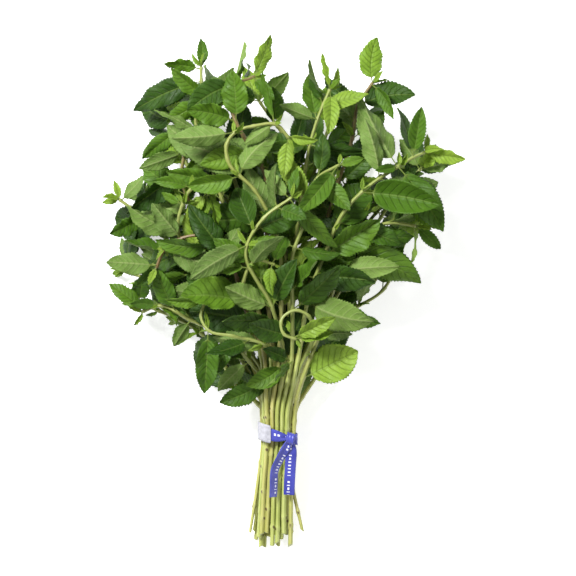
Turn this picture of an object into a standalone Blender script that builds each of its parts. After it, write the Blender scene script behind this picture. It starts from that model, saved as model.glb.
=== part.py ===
"""A tied bunch of fresh mint, lying on its side.

Thirty-two sprigs lie side by side. Each is one grown piece: a square stem that runs from its cut
end, through the tie, up into the foliage, with pairs of leaves on short stalks at its joints.
A ribbon goes once round the stems, is knotted, and leaves two tails; a white paper tag is
wrapped over the ribbon.

Frame: +Z up, the bunch lies on Z = 0 with the cut ends towards -Y and the foliage towards +Y,
and the origin is under the middle of the whole bunch. Blender's units are metres; the numbers
of the design are in millimetres.
"""

import math

import bmesh
import bpy
import numpy as np
from mathutils import Matrix, Vector
from mathutils.bvhtree import BVHTree

MM = 0.001

# ---------------------------------------------------------------- driving dimensions, in mm
STEM_PITCH = 3.3  # between neighbours in one row of the tied bundle
ROW_PITCH = 3.2  # between rows of the tied bundle
ROWS = (6, 7, 7, 7, 5)  # stems in each row, from the lowest row up
STEM_RADIUS = 1.55  # centre to corner of the square stem, at its cut end
TIP_RADIUS = 1.05  # the same at the growing tip
TIE_Y = -102.0  # where the ribbon goes round
TIE_Z = 21.0  # height of the bundle's middle there
CUT_Y = -178.5  # where the stems are cut
CUT_Z = 9.2  # height of the bundle's middle there
FLOOR = 0.0
LEAF_THICK = 0.45  # half the thickness of a leaf along its midrib
STALK_HALF = 0.55  # half the width of a leaf's stalk
CLEARANCE = 0.6  # kept between a leaf and what it lies beside
WIDTH_SHARE = 0.225  # half a leaf's width as a share of its length

CUT_X = -7.5  # where the cut ends are sideways
TIE_X = -4.0  # where the tie is sideways
STEM_GAP = 0.3  # kept between neighbouring stems
STEM_SAG = 0.35  # how far the stem's straight pieces may leave its true curve
NODE_HALF = 1.2  # half the length of a stem's joint, where leaves grow
STALK_SHARE = 0.13  # the stalk's share of a leaf
TIP_HALF = 0.35  # half the width of a leaf's very tip
FLOOR_MARGIN = 0.75  # from the floor to the middle of a leaf pressed on it
ATTEMPTS = 46  # ways tried before a leaf is left out
SOLID_STEPS = (STALK_SHARE, 0.34, 0.56, 0.79, 1.0)  # where a leaf's solid has its sections
SHORT_STEPS = (STALK_SHARE, 0.46, 1.0)  # the same for a short leaf
SHORT_LEAF = 30.0
TIP_THICK = 0.3  # half a leaf's thickness at its tip
BLADE_STEPS = (0.2, 0.32, 0.45, 0.6, 0.75, 0.9, 1.0)
STALK_STEPS = (0.0, 0.1, 0.2)
ALL_STEPS = (0.0, 0.1, 0.2, 0.32, 0.45, 0.6, 0.75, 0.9, 1.0)

RIBBON_THICK = 0.45
RIBBON_GAP = 0.35  # between the stems and the ribbon
BAND_WIDTH = 8.6
BAND_TILT = -0.18  # the band runs towards the cut ends as it goes right
BAND_CLIMB = 0.008  # and a little more steeply on the left
BAND_SECTIONS = 44
KNOT_X = 4.4
KNOT_Y = -103.4
KNOT_SIZE = (7.4, 9.2, 6.0)
TAIL_WIDTH = 7.8
TAIL_SECTIONS = 12
TAIL_ONE = (
    (4.4, -103, 3.0), (0.7, -111, 4.0), (-3.6, -119.5, 4.4), (-6.4, -126, 4.0), (-7.4, -135, 3.8), (-7.8, -145, 4.2),
)
TAIL_ONE_TURN = (0, 42, 48)  # degrees about its length, from the knot to its end
TAIL_TWO = ((4.4, -103, 3.0), (5.4, -111, 2.6), (4.7, -120, 2.2), (4.0, -132, 1.8), (3.5, -143.5, 2.6))
TAIL_TWO_TURN = (0, 6, -8)
TAG_THICK = 0.35
TAG_GAP = 0.35  # between the ribbon and the tag
TAG_WIDTH = 12.6
TAG_SHIFT = 0.0
TAG_RIGHT = -9.1  # where the tag's right edge is
TAG_LAST_TURN = 232  # degrees round the bundle to which the tag reaches

LEAF_GREEN = (0.16, 0.33, 0.08)
RIBBON_BLUE = (0.03, 0.045, 0.5)
TAG_WHITE = (0.86, 0.86, 0.88)

# How a leaf shows: its darker upper side, its paler underside, or young growth.
DARK, MID, YOUNG, UNDER = "dark", "mid", "young", "under"


# ---------------------------------------------------------------- how each sprig was laid
def leaf(heading, length, look=MID, wide=1.0):
    """A leaf that points to heading, in degrees from +X, with its length in mm."""
    return {"heading": heading, "length": length, "look": look, "wide": wide}


def joint(x, y, z, *leaves):
    """A joint of the stem, in mm, with the leaves that grow there."""
    return (x, y, z), list(leaves)


AUTO = "a pair of leaves that finds its own way"

# Sprigs on top of the bunch, each with its slot in the tie (row, place) and its joints from
# just above the tie to the tip.
LAID = {
    "sprig_01": ((4, 0), [  # turns out to the left under its own weight
        joint(-13, -66, 36.5, leaf(212, 34, MID, 1.15), leaf(35, 30, UNDER, 1.2)),
        joint(-14, -45, 40, AUTO),
        joint(-28, -10, 58, AUTO), joint(-40, 25, 70, AUTO), joint(-59, 39, 74),
        joint(-83, 30, 70, leaf(81, 51, UNDER), leaf(-20, 46, UNDER)),
        joint(-89, 17, 63, leaf(175, 38, UNDER), leaf(160, 30, DARK), leaf(225, 19)),
    ]),
    "sprig_02": ((4, 1), [  # the long S with a hanging head
        joint(-4, -50, 42, leaf(208, 34, UNDER, 1.1), AUTO), joint(-2, -10, 60, AUTO),
        joint(-4, 35, 74, AUTO), joint(-20, 70, 84),
        joint(-39, 91, 88), joint(-40, 102, 89), joint(-35, 110, 89, leaf(190, 42, UNDER)),
        joint(-20, 115, 90), joint(-5, 116, 89, leaf(100, 37, MID, 0.6), leaf(212, 25, UNDER)),
        joint(3, 107, 85, leaf(262, 28, YOUNG), leaf(-21, 21, YOUNG)),
    ]),
    "sprig_03": ((4, 2), [  # arches over the middle
        joint(0, -50, 44, leaf(236, 28, MID, 1.2), AUTO), joint(-8, -12, 66, AUTO),
        joint(-26, 31, 86, leaf(203, 44, UNDER), leaf(15, 22)),
        joint(-14, 51, 91), joint(5, 65, 90, leaf(-54, 46, MID, 0.7), leaf(134, 27, UNDER), leaf(82, 22)),
    ]),
    "sprig_04": ((4, 3), [  # straight up the middle
        joint(5, -50, 45, leaf(60, 30, UNDER, 1.2), leaf(160, 30, DARK), leaf(228, 26, MID, 1.2)),
        joint(6, -14, 64, AUTO), joint(7, 29, 76, leaf(155, 24), leaf(-18, 31, DARK)),
        joint(14, 47, 78), joint(24, 80, 76, leaf(-47, 32, MID), leaf(70, 30, DARK)),
        joint(38, 88, 74, leaf(-128, 48, MID, 0.75), leaf(-80, 17, YOUNG), leaf(20, 18)),
    ]),
    "sprig_05": ((4, 4), [  # the long branch to the right
        joint(6.6, -66, 38.6, leaf(184, 38, DARK, 1.35)), joint(10, -50, 44, leaf(-32, 34, MID, 1.3), AUTO),
        joint(17, -5, 60, leaf(-36, 46, UNDER, 1.35), leaf(128, 24, MID, 1.5)),
        joint(28, 25, 68, AUTO), joint(45, 60, 76), joint(55, 70, 76, leaf(-4, 56, DARK, 1.1)),
        joint(81, 88, 72, leaf(123, 57, UNDER), leaf(-48, 54, MID), leaf(201, 18)),
        joint(91, 94, 69, leaf(82, 35, MID), leaf(98, 36, DARK)),
        joint(98, 97, 66, leaf(-10, 30, YOUNG), leaf(32, 15, YOUNG)),
    ]),
    "sprig_06": ((3, 0), [  # a hook on the left
        joint(-16, -45, 36), joint(-40, -5, 52, AUTO), joint(-62, 25, 62, AUTO),
        joint(-74, 42, 70, leaf(161, 42, UNDER)),
        joint(-71, 60, 73, leaf(160, 16, MID)), joint(-64, 72, 74, leaf(150, 25, MID)),
        joint(-57, 74, 74), joint(-53, 68, 71, leaf(229, 23, YOUNG), leaf(258, 19, YOUNG), leaf(-54, 23)),
    ]),
    "sprig_07": ((3, 1), [  # doubles back on the lower left
        joint(-9, -60, 38), joint(-13, -38, 58, leaf(165, 34, UNDER)), joint(-36, -31, 64),
        joint(-53, -27, 62, leaf(268, 44, DARK)), joint(-58, -18, 60),
        joint(-55, -6, 58, leaf(183, 27), leaf(120, 26, DARK)),
    ]),
    "sprig_08": ((3, 2), [  # the reddish stem to the upper left
        joint(-8, -45, 38), joint(-11, -8, 52, AUTO), joint(-12, 35, 62, AUTO),
        joint(-15, 86, 70, leaf(166, 60, UNDER), leaf(-20, 26, DARK)), joint(-27, 106, 73, leaf(-30, 18)),
        joint(-37, 130, 72), joint(-35, 143, 70, leaf(194, 38, DARK, 1.2), leaf(85, 32, MID, 1.2)),
        joint(-21, 150, 66, leaf(60, 31, YOUNG), leaf(-42, 23), leaf(116, 24, DARK)),
    ]),
    "sprig_09": ((3, 3), [  # a small shoot near the middle
        joint(-4, -55, 38), joint(-20, -20, 60, AUTO), joint(-28, 8, 74),
        joint(-20, 22, 79, leaf(170, 32, MID)),
        joint(-7, 19, 77, leaf(253, 22, YOUNG, 1.1), leaf(62, 23, MID)),
    ]),
    "sprig_10": ((3, 4), [  # curls into a C on the lower right
        joint(10, -55, 42), joint(20, -32, 58), joint(17, -17, 66), joint(8, -13, 68), joint(-2, -20, 69),
        joint(0, -30, 69), joint(8, -33, 67, leaf(25, 31, YOUNG), leaf(3, 27, YOUNG)),
    ]),
    "sprig_11": ((3, 5), [  # to the right, behind the long branch
        joint(12, -50, 36), joint(30, -8, 50, leaf(-30, 38, MID)),
        joint(39, 29, 58, leaf(-68, 34, MID, 1.2)),
        joint(52, 40, 58, leaf(165, 38, DARK), leaf(-12, 40, MID)), joint(74, 48, 56, AUTO),
        joint(92, 46, 54, leaf(-75, 25, YOUNG), leaf(-40, 24, MID)),
    ]),
    "sprig_12": ((3, 6), [  # its lowest pair opens just above the tie
        joint(13, -62, 47, leaf(29, 42, YOUNG, 1.6), leaf(196, 30, DARK, 1.15)),
        joint(24, -32, 50, leaf(14, 24, UNDER), leaf(60, 30)), joint(34, 0, 56, AUTO),
        joint(44, 30, 60, leaf(-12, 54, MID, 1.05), leaf(100, 30, DARK)), joint(56, 55, 60, AUTO),
    ]),
    "sprig_13": ((2, 0), [  # the lone leaf on the far left
        joint(-16, -55, 28), joint(-40, -32, 40, AUTO),
        joint(-66, -20, 46, leaf(233, 21, UNDER, 1.5), AUTO),
        joint(-88, -10, 44, leaf(-37, 18, MID), leaf(170, 20, MID)),
        joint(-99, -14, 41, leaf(138, 30, MID)),
    ]),
    "sprig_14": ((2, 1), [  # low on the left, leaves near the tie
        joint(-12, -66, 30, leaf(188, 26, MID, 1.2), leaf(228, 18, DARK, 0.7)),
        joint(-24, -50, 42, leaf(215, 30, UNDER), leaf(160, 32, MID)),
        joint(-36, -34, 48, leaf(238, 32, MID), leaf(100, 26, MID)), joint(-50, -6, 50, AUTO),
        joint(-66, 14, 50, leaf(200, 30), leaf(150, 26), leaf(-10, 32, DARK)),
    ]),
    "sprig_15": ((2, 2), [  # out to the left
        joint(-14, -50, 28), joint(-34, -5, 42, AUTO), joint(-52, 35, 50, AUTO),
        joint(-64, 58, 54, leaf(175, 40, UNDER)), joint(-72, 80, 56, leaf(206, 43, DARK), leaf(40, 30)),
        joint(-70, 98, 58, leaf(200, 32, UNDER), leaf(-40, 42, DARK, 1.25)),
        joint(-74, 114, 57, leaf(215, 34, MID), leaf(100, 20)),
    ]),
    "sprig_16": ((2, 3), [  # pale head hanging on the upper left
        joint(-8, -50, 32), joint(-22, -2, 46, AUTO), joint(-38, 48, 56, AUTO), joint(-52, 92, 62, AUTO),
        joint(-60, 126, 66), joint(-52, 133, 66, leaf(245, 20, YOUNG), leaf(-55, 21, YOUNG), leaf(200, 33)),
    ]),
    "sprig_17": ((2, 4), [  # up to the top left corner
        joint(-6, -50, 30), joint(-12, -6, 44, AUTO), joint(-24, 44, 50, AUTO), joint(-38, 88, 54, AUTO),
        joint(-50, 124, 56, AUTO), joint(-58, 148, 55, leaf(192, 48, DARK), leaf(140, 26, DARK)),
        joint(-58, 157, 54, leaf(163, 26, MID), leaf(80, 20)),
    ]),
    "sprig_18": ((2, 5), [  # young top, upper right of the middle
        joint(4, -50, 30), joint(4, -8, 44, AUTO), joint(8, 34, 52, AUTO), joint(13, 72, 58, AUTO),
        joint(18, 102, 62, leaf(-19, 36, DARK), leaf(190, 34, MID)),
        joint(24, 122, 64, leaf(160, 28, UNDER), leaf(111, 34, MID)),
        joint(32, 141, 63, leaf(98, 28, YOUNG, 0.6), leaf(70, 21, YOUNG), leaf(-84, 33, YOUNG)),
    ]),
    "sprig_19": ((2, 6), [  # round-tipped leaf at the top right
        joint(8, -50, 28), joint(15, -8, 40, AUTO), joint(26, 36, 46, AUTO), joint(38, 76, 50, AUTO),
        joint(48, 108, 52, AUTO), joint(52, 131, 52, leaf(28, 38, DARK, 1.2), leaf(150, 30, DARK)),
        joint(62, 146, 52, leaf(102, 31, YOUNG, 1.3), leaf(-38, 30, MID)),
    ]),
    "sprig_20": ((0, 5), [  # right, under the long branch
        joint(14, -50, 28), joint(32, -12, 40, AUTO), joint(52, 22, 44, AUTO), joint(68, 52, 46, AUTO),
        joint(84, 74, 48, leaf(-60, 40, MID), leaf(70, 38, DARK)), joint(96, 86, 50, AUTO),
    ]),
}

# Sprigs underneath: slot, the way they point in degrees left (+) or right (-) of +Y, how far
# their tips are from the tie, and the height of the tips.
UNDERNEATH = {
    "sprig_21": ((1, 0), 44, 128, 24), "sprig_22": ((1, 1), 31, 196, 30), "sprig_23": ((1, 2), 17, 232, 36),
    "sprig_24": ((1, 3), 1, 236, 36), "sprig_25": ((1, 4), -9, 222, 34), "sprig_26": ((1, 5), -21, 206, 32),
    "sprig_27": ((1, 6), -32, 156, 30), "sprig_28": ((0, 0), 36, 150, 12), "sprig_29": ((0, 1), 22, 186, 14),
    "sprig_30": ((0, 2), 7, 200, 14), "sprig_31": ((0, 3), -14, 184, 13), "sprig_32": ((0, 4), -30, 128, 12),
}

# Stems whose cut ends stray from the bundle: (sideways, along) from where they would end.
STRAY_ENDS = {
    "sprig_13": (-4.5, 10), "sprig_21": (-3, 4), "sprig_19": (9.4, 1), "sprig_28": (-2, 2), "sprig_32": (2, 5),
}

SAMPLES = 72  # points along each stem's middle line
MOST_BARE = 22.0  # the longest bare piece of stem above the tie
TIED_SAMPLES = 24  # of them from the cut end to just above the tie

# Seen from above, the foliage keeps inside this outline, in mm.
OUTLINE = (
    (-113, 141), (-80, 166), (-66, 176), (-42, 172), (-26, 182), (-4, 158), (18, 177), (32, 172),
    (46, 160), (55, 177), (72, 160), (92, 134), (128, 94), (112, 64), (98, 48), (90, 24), (60, 0),
    (58, -18), (52, -42), (26, -62), (6, -70), (-20, -72), (-34, -70), (-66, -55), (-78, -22), (-106, 4),
    (-100, 20), (-128, 24), (-120, 58), (-100, 86), (-96, 124),
)


# ---------------------------------------------------------------- stems
def unit(vector):
    """The same direction, one long."""
    vector = np.asarray(vector, float)
    return vector / np.linalg.norm(vector, axis=-1, keepdims=True)


def evenly(curve, count):
    """The curve again, with points at even distances along it."""
    steps = np.linalg.norm(np.diff(curve, axis=0), axis=1)
    along = np.concatenate([[0.0], np.cumsum(steps)])
    wanted = np.linspace(0, along[-1], count)
    return np.column_stack([np.interp(wanted, along, curve[:, axis]) for axis in range(3)])


def smooth_path(points, count):
    """A smooth curve through the points: a cubic between each two, with matching slopes."""
    points = np.array(points, float)
    span = np.linalg.norm(np.diff(points, axis=0), axis=1)
    knots = np.concatenate([[0.0], np.cumsum(span)])
    slope = np.gradient(points, knots, axis=0)
    fine = np.linspace(0, knots[-1], 600)
    first = np.clip(np.searchsorted(knots, fine, side="right") - 1, 0, len(span) - 1)
    u = ((fine - knots[first]) / span[first])[:, None]
    width = span[first][:, None]
    curve = (2 * u**3 - 3 * u**2 + 1) * points[first] + (3 * u**2 - 2 * u**3) * points[first + 1]
    curve += (u**3 - 2 * u**2 + u) * width * slope[first] + (u**3 - u**2) * width * slope[first + 1]
    return evenly(curve, count)


def slot_offset(slot):
    """Sideways and upward distance of a slot from the middle of the bundle."""
    row, place = slot
    stagger = 0.25 if row % 2 else -0.25
    return (place - (ROWS[row] - 1) / 2 + stagger) * STEM_PITCH, (row - (len(ROWS) - 1) / 2) * ROW_PITCH


def tied_points(name, slot, rng):
    """The stem's points from its cut end to the tie."""
    side, up = slot_offset(slot)
    stray_side, stray_along = STRAY_ENDS.get(name, (0, 0))
    end_y = CUT_Y + rng.uniform(-3, 9) + stray_along
    cut = (CUT_X + side * 1.16 + stray_side + rng.uniform(-0.6, 0.6), end_y, CUT_Z + up)
    middle = (TIE_X - 2.0 + side * 1.04 + stray_side * 0.2, TIE_Y - 30, TIE_Z - 4.6 + up)
    tie = (TIE_X + side, TIE_Y, TIE_Z + up)
    above = (TIE_X + side * 1.09, TIE_Y + 16, TIE_Z + 3.5 + up * 1.15)
    return [cut, middle, tie, above]


def fanned_joints(name, slot, rng):
    """Joints of a sprig underneath: it fans out to its own side and sinks towards the floor."""
    _, turn, reach, height = UNDERNEATH[name]
    side, up = slot_offset(slot)
    joints = []
    count = max(3, round(reach / 42))
    for index in range(count):
        share = (index + 1) / count
        away = reach * (0.3 + 0.7 * index / (count - 1))
        angle = math.radians(turn * (0.3 + 0.7 * share) + rng.uniform(-4, 4))
        x = TIE_X + side * (1 + 0.5 * share) - math.sin(angle) * away
        y = TIE_Y + math.cos(angle) * away
        z = TIE_Z + up + (height - TIE_Z - up) * share + 6 * math.sin(math.pi * share)
        joints.append(joint(x, y, max(z, 4), AUTO))
    return joints


def stem_radius(share):
    """Centre to corner of the square stem, at a share of the way from cut end to tip."""
    return STEM_RADIUS + (TIP_RADIUS - STEM_RADIUS) * share**1.6


def nearest_on_segments(a, b, c, d):
    """Where along a-b and along c-d, as shares, the two segments are nearest to each other."""
    first, second, gap = b - a, d - c, a - c
    ff = (first**2).sum(1)
    fs = (first * second).sum(1)
    ss = (second**2).sum(1)
    fg = (first * gap).sum(1)
    sg = (second * gap).sum(1)
    spread = np.maximum(ff * ss - fs**2, 1e-9)
    s = np.clip((fs * sg - ss * fg) / spread, 0, 1)
    t = np.clip((fs * s + sg) / ss, 0, 1)
    s = np.clip((fs * t - fg) / ff, 0, 1)
    return s, t


def push_apart(paths, rounds=90):
    """Moves stems that touch away from each other and off the floor, and keeps them smooth."""
    home = np.array(paths)
    stems, count, _ = home.shape
    moved = np.zeros_like(home)
    radius = np.tile(stem_radius(np.linspace(0, 1, count)), (stems, 1))
    owner = np.repeat(np.arange(stems), count - 1)
    start = (np.arange(stems)[:, None] * count + np.arange(count - 1)).ravel()
    flat_radius = radius.ravel()
    for turn in range(rounds):
        points = (home + moved).reshape(-1, 3)
        if turn % 8 == 0:
            middle = (points[start] + points[start + 1]) / 2
            square = (middle**2).sum(1)
            apart = square[:, None] + square - 2 * middle @ middle.T
            one, other = np.nonzero((apart < 9.5**2) & (owner[:, None] < owner))
        i, j = start[one], start[other]
        s, t = nearest_on_segments(points[i], points[i + 1], points[j], points[j + 1])
        near = points[i] * (1 - s)[:, None] + points[i + 1] * s[:, None]
        far = points[j] * (1 - t)[:, None] + points[j + 1] * t[:, None]
        away = near - far
        distance = np.maximum(np.linalg.norm(away, axis=1), 1e-6)
        need = flat_radius[i] + flat_radius[j] + STEM_GAP
        short = np.maximum(need - distance, 0)
        push = away / distance[:, None] * (short * 0.3)[:, None]
        total = np.zeros_like(points)
        weight = np.full(len(points), 1e-6)
        for ends, share, sign in ((i, 1 - s, 1), (i + 1, s, 1), (j, 1 - t, -1), (j + 1, t, -1)):
            np.add.at(total, ends, push * (share * sign)[:, None])
            np.add.at(weight, ends, share * (short > 0))
        moved += (total / np.maximum(weight, 1)[:, None] ** 0.5).reshape(home.shape)
        if turn < rounds - 12:
            inner = (moved[:, :-2] + moved[:, 2:]) / 2
            moved[:, 1:-1] = moved[:, 1:-1] * 0.7 + inner * 0.3
            moved *= 0.997
        lowest = radius + 0.3 + FLOOR
        moved[..., 2] = np.maximum(moved[..., 2], lowest - home[..., 2])
    return home + moved


def carried_frames(path, roll):
    """Two directions across the stem at each point, carried along it without twisting."""
    forward = unit(np.gradient(path, axis=0))
    across = np.cross(forward[0], (math.sin(roll), 0.0, math.cos(roll)))
    first, second = [], []
    for direction in forward:
        across = unit(across - direction * across.dot(direction))
        first.append(across)
        second.append(np.cross(direction, across))
    return forward, np.array(first), np.array(second)


def lay_stems():
    """Every sprig's middle line, frames and joints, with no stem touching another."""
    sprigs = []
    slots = {name: laid[0] for name, laid in LAID.items()}
    slots.update({name: row[0] for name, row in UNDERNEATH.items()})
    for number, (name, slot) in enumerate(sorted(slots.items())):
        rng = np.random.default_rng(100 + number)
        joints = LAID[name][1] if name in LAID else fanned_joints(name, slot, rng)
        points = tied_points(name, slot, rng) + [place for place, _ in joints]
        sprigs.append({"name": name, "joints": joints, "path": smooth_path(points, SAMPLES), "rng": rng})
    paths = push_apart([sprig["path"] for sprig in sprigs])
    for sprig, path in zip(sprigs, paths):
        steps = np.linalg.norm(np.diff(path, axis=0), axis=1)
        sprig["path"] = path
        sprig["along"] = np.concatenate([[0.0], np.cumsum(steps)])
        sprig["frames"] = carried_frames(path, sprig["rng"].uniform(-0.3, 0.3))
    return sprigs


def station(sprig, distance):
    """Middle, forward, two directions across and radius of the stem at a distance from its cut end."""
    along = sprig["along"]
    rows = [sprig["path"], *sprig["frames"]]
    found = [np.array([np.interp(distance, along, row[:, axis]) for axis in range(3)]) for row in rows]
    return found[0], unit(found[1]), unit(found[2]), unit(found[3]), stem_radius(distance / along[-1])


def nearest_distance(sprig, place):
    """The distance from the cut end at which the stem passes nearest to a place."""
    gaps = np.linalg.norm(sprig["path"] - np.array(place), axis=1)
    gaps[:TIED_SAMPLES // 2] += 1000
    return float(sprig["along"][int(gaps.argmin())])


# ---------------------------------------------------------------- leaves
def outline_width(t):
    """Half the width of a blade at a share of the way along it, as a share of the widest."""
    t = np.clip(t, 0, 1)
    shape = t**0.6 * (1 - t) ** 0.8
    return shape / (0.429**0.6 * 0.571**0.8)


def off_floor(z, margin):
    """Heights eased to stay above the floor by the margin."""
    over = z - FLOOR - margin
    return FLOOR + margin + (over + np.sqrt(over**2 + 1.0)) / 2


def leaf_rows(one, t):
    """Middle, side and up directions, and half width, of a leaf at shares t along it."""
    t = np.asarray(t, float)[:, None]
    curl = one["bend"] * one["up"] + one["sway"] * one["side"]
    middle = one["base"] + one["length"] * (t * one["forward"] + t**2 / 2 * curl)
    forward = unit(one["forward"] + t * curl)
    side = unit(one["side"] - forward * (forward * one["side"]).sum(1, keepdims=True))
    up = np.cross(side, forward)
    turn = one["twist"] * t
    side, up = side * np.cos(turn) + up * np.sin(turn), up * np.cos(turn) - side * np.sin(turn)
    blade = (t[:, 0] - STALK_SHARE) / (1 - STALK_SHARE)
    half = np.maximum(one["half_width"] * outline_width(blade), TIP_HALF)
    half = np.where(t[:, 0] < STALK_SHARE + 0.02, STALK_HALF, half)
    return middle, side, up, half


def leaf_points(one, t, across, lift):
    """Points of a leaf: shares t along it, shares across (-1 to 1), and distances lift above its middle."""
    middle, side, up, half = leaf_rows(one, t)
    across = np.asarray(across, float)
    fold = one["fold"]
    out = (half[:, None] * across)[..., None] * (math.cos(fold) * side[:, None, :])
    rise = (half[:, None] * np.abs(across))[..., None] * (math.sin(fold) * up[:, None, :])
    points = middle[:, None, :] + out + rise
    points[..., 2] = off_floor(points[..., 2], FLOOR_MARGIN)
    return points + np.asarray(lift, float)[..., None] * up[:, None, :]


def leaf_slab(one, t, grow):
    """A closed slab round a leaf for seeing what it would touch, thicker and wider by grow."""
    middle, side, up, half = leaf_rows(one, t)
    wide = 1 + grow / np.maximum(half, 1.0)
    flat = leaf_points(one, t, [-1, 0, 1], np.zeros((len(t), 3)))
    flat[:, 0] = flat[:, 1] + (flat[:, 0] - flat[:, 1]) * wide[:, None]
    flat[:, 2] = flat[:, 1] + (flat[:, 2] - flat[:, 1]) * wide[:, None]
    thick = np.array([0.3, LEAF_THICK, 0.3]) + grow
    top = flat + thick[None, :, None] * up[:, None, :]
    bottom = flat - thick[None, :, None] * up[:, None, :]
    ring = np.concatenate([top, bottom[:, ::-1]], axis=1)
    return ring.reshape(-1, 3), tube_faces(len(t), 6)


def tube_faces(rings, size):
    """Faces of a closed tube made of rings of the same size."""
    faces = []
    for ring in range(rings - 1):
        for index in range(size):
            here, there = ring * size, (ring + 1) * size
            follow = (index + 1) % size
            faces.append((here + index, here + follow, there + follow, there + index))
    faces.append(tuple(range(size)))
    faces.append(tuple(range((rings - 1) * size, rings * size)))
    return faces


def inside_outline(x, y):
    """Whether a place seen from above is inside the foliage's outline."""
    inside = False
    for (x1, y1), (x2, y2) in zip(OUTLINE, OUTLINE[1:] + OUTLINE[:1]):
        if (y1 > y) != (y2 > y) and x < x1 + (x2 - x1) * (y - y1) / (y2 - y1):
            inside = not inside
    return inside


class Placed:
    """Everything already laid down, for telling what a new leaf would touch."""

    def __init__(self):
        self.low, self.high, self.trees, self.owners = [], [], [], []

    def add(self, points, faces, owner):
        self.low.append(points.min(0))
        self.high.append(points.max(0))
        self.trees.append(BVHTree.FromPolygons(points.tolist(), faces))
        self.owners.append(owner)

    def touches(self, points, faces, but=None):
        low, high = points.min(0), points.max(0)
        near = (np.array(self.low) < high).all(1) & (np.array(self.high) > low).all(1)
        tree = None
        for index in np.nonzero(near)[0]:
            if self.owners[index] == but:
                continue
            if tree is None:
                tree = BVHTree.FromPolygons(points.tolist(), faces)
            if tree.overlap(self.trees[index]):
                return True
        return False


def try_leaf(sprig, spec, distance, taken, rng, attempt):
    """One way a leaf could grow from the joint; None if that way it would cross its own stem."""
    middle, forward, first, second, radius = station(sprig, distance)
    loose = attempt / ATTEMPTS
    heading = math.radians(spec["heading"] + rng.normal() * spec["stray"] * (0.2 + loose))
    pitch = math.radians(np.clip(spec["pitch"] + rng.normal() * (11 + 29 * loose), -50, 34))
    direction = np.array([math.cos(heading) * math.cos(pitch), math.sin(heading) * math.cos(pitch), math.sin(pitch)])
    normals = [
        math.cos(math.radians(45 + 90 * k)) * first + math.sin(math.radians(45 + 90 * k)) * second
        for k in range(4)
    ]
    free = [k for k in range(4) if (distance, k) not in taken]
    if not free:
        return None
    best = max(free, key=lambda k: normals[k].dot(direction))
    outward = normals[best].dot(direction)
    at_tip = distance == sprig["along"][-1]
    if at_tip and (distance, "cap") not in taken and forward.dot(direction) > max(outward, 0.6):
        best, base = "cap", middle
    elif outward < 0.3:
        return None
    else:
        base = middle + normals[best] * radius * 0.7 - forward * (NODE_HALF if at_tip else 0)
    flat = unit(np.cross(direction, (0.0, 0.0, 1.0)))
    roll = math.radians(rng.normal() * (24 + 22 * loose)) + (math.pi if spec["look"] == UNDER else 0)
    rise = np.cross(flat, direction)
    side = flat * math.cos(roll) + rise * math.sin(roll)
    shrink = 1 - 0.4 * max(0, loose - 0.6)
    length = spec["length"] * shrink
    droop = -1 if spec["look"] == UNDER else 1
    return {
        "sprig": sprig["name"], "base": base, "forward": direction, "side": side,
        "up": np.cross(side, direction), "length": length, "look": spec["look"],
        "half_width": length * WIDTH_SHARE * spec["wide"], "from": (distance, best),
        "bend": droop * -0.3 + rng.normal() * (0.38 + 0.25 * loose), "sway": rng.normal() * 0.27,
        "twist": rng.normal() * 0.5, "fold": math.radians(rng.uniform(2, 36)), "seed": int(rng.integers(1e6)),
    }


def grow_leaf(sprig, spec, distance, taken, placed, rng):
    """Places a leaf where it touches nothing, or returns None when there is no room."""
    for attempt in range(ATTEMPTS):
        one = try_leaf(sprig, spec, distance, taken, rng, attempt)
        if one is None:
            continue
        halfway, tip = leaf_rows(one, [0.5, 1.0])[0]
        inside = inside_outline(tip[0], tip[1]) and inside_outline(halfway[0], halfway[1])
        if spec["auto"] and (not inside or tip[2] < -6):
            continue
        blade = leaf_slab(one, BLADE_STEPS, CLEARANCE)
        if placed.touches(*blade):
            continue
        stalk = leaf_slab(one, STALK_STEPS, 0.25)
        if placed.touches(*stalk, but=sprig["name"]):
            continue
        placed.add(*leaf_slab(one, ALL_STEPS, 0.0), sprig["name"] + "_leaf")
        return one
    return None


def joints_between(sprig):
    """Further joints, so that no length of stem above the tie is bare for long."""
    first = nearest_distance(sprig, sprig["path"][TIED_SAMPLES]) + 4
    found = []
    marks = sorted({first, *sprig["nodes"]})
    for low, high in zip(marks, marks[1:]):
        pieces = int((high - low) // MOST_BARE) + 1
        found += [low + (high - low) * piece / pieces for piece in range(1, pieces)]
    low = sprig["nodes"][0] - first > 14 and sprig["path"][TIED_SAMPLES][2] < 30
    return [first] * int(low) + found


def auto_pair(sprig, distance, number, rng):
    """Specs of the pair at a joint that finds its own way: one to each side of the stem."""
    _, forward, _, _, _ = station(sprig, distance)
    share = distance / sprig["along"][-1]
    ahead = math.degrees(math.atan2(forward[1], forward[0]))
    size = (49 - 46 * max(0, share - 0.6)) * rng.uniform(0.8, 1.15)
    looks = rng.choice([DARK, MID, UNDER, YOUNG], 2, p=[0.42, 0.3, 0.22, 0.06])
    specs = []
    for sign, look in zip((1, -1), looks):
        turn = rng.uniform(38, 72) if number % 2 else rng.uniform(15, 50)
        specs.append(dict(leaf(ahead + sign * turn, size * rng.uniform(0.9, 1.1), str(look), rng.uniform(0.95, 1.35)),
                          auto=True, stray=28, pitch=rng.uniform(-12, 18)))
    return specs


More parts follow.
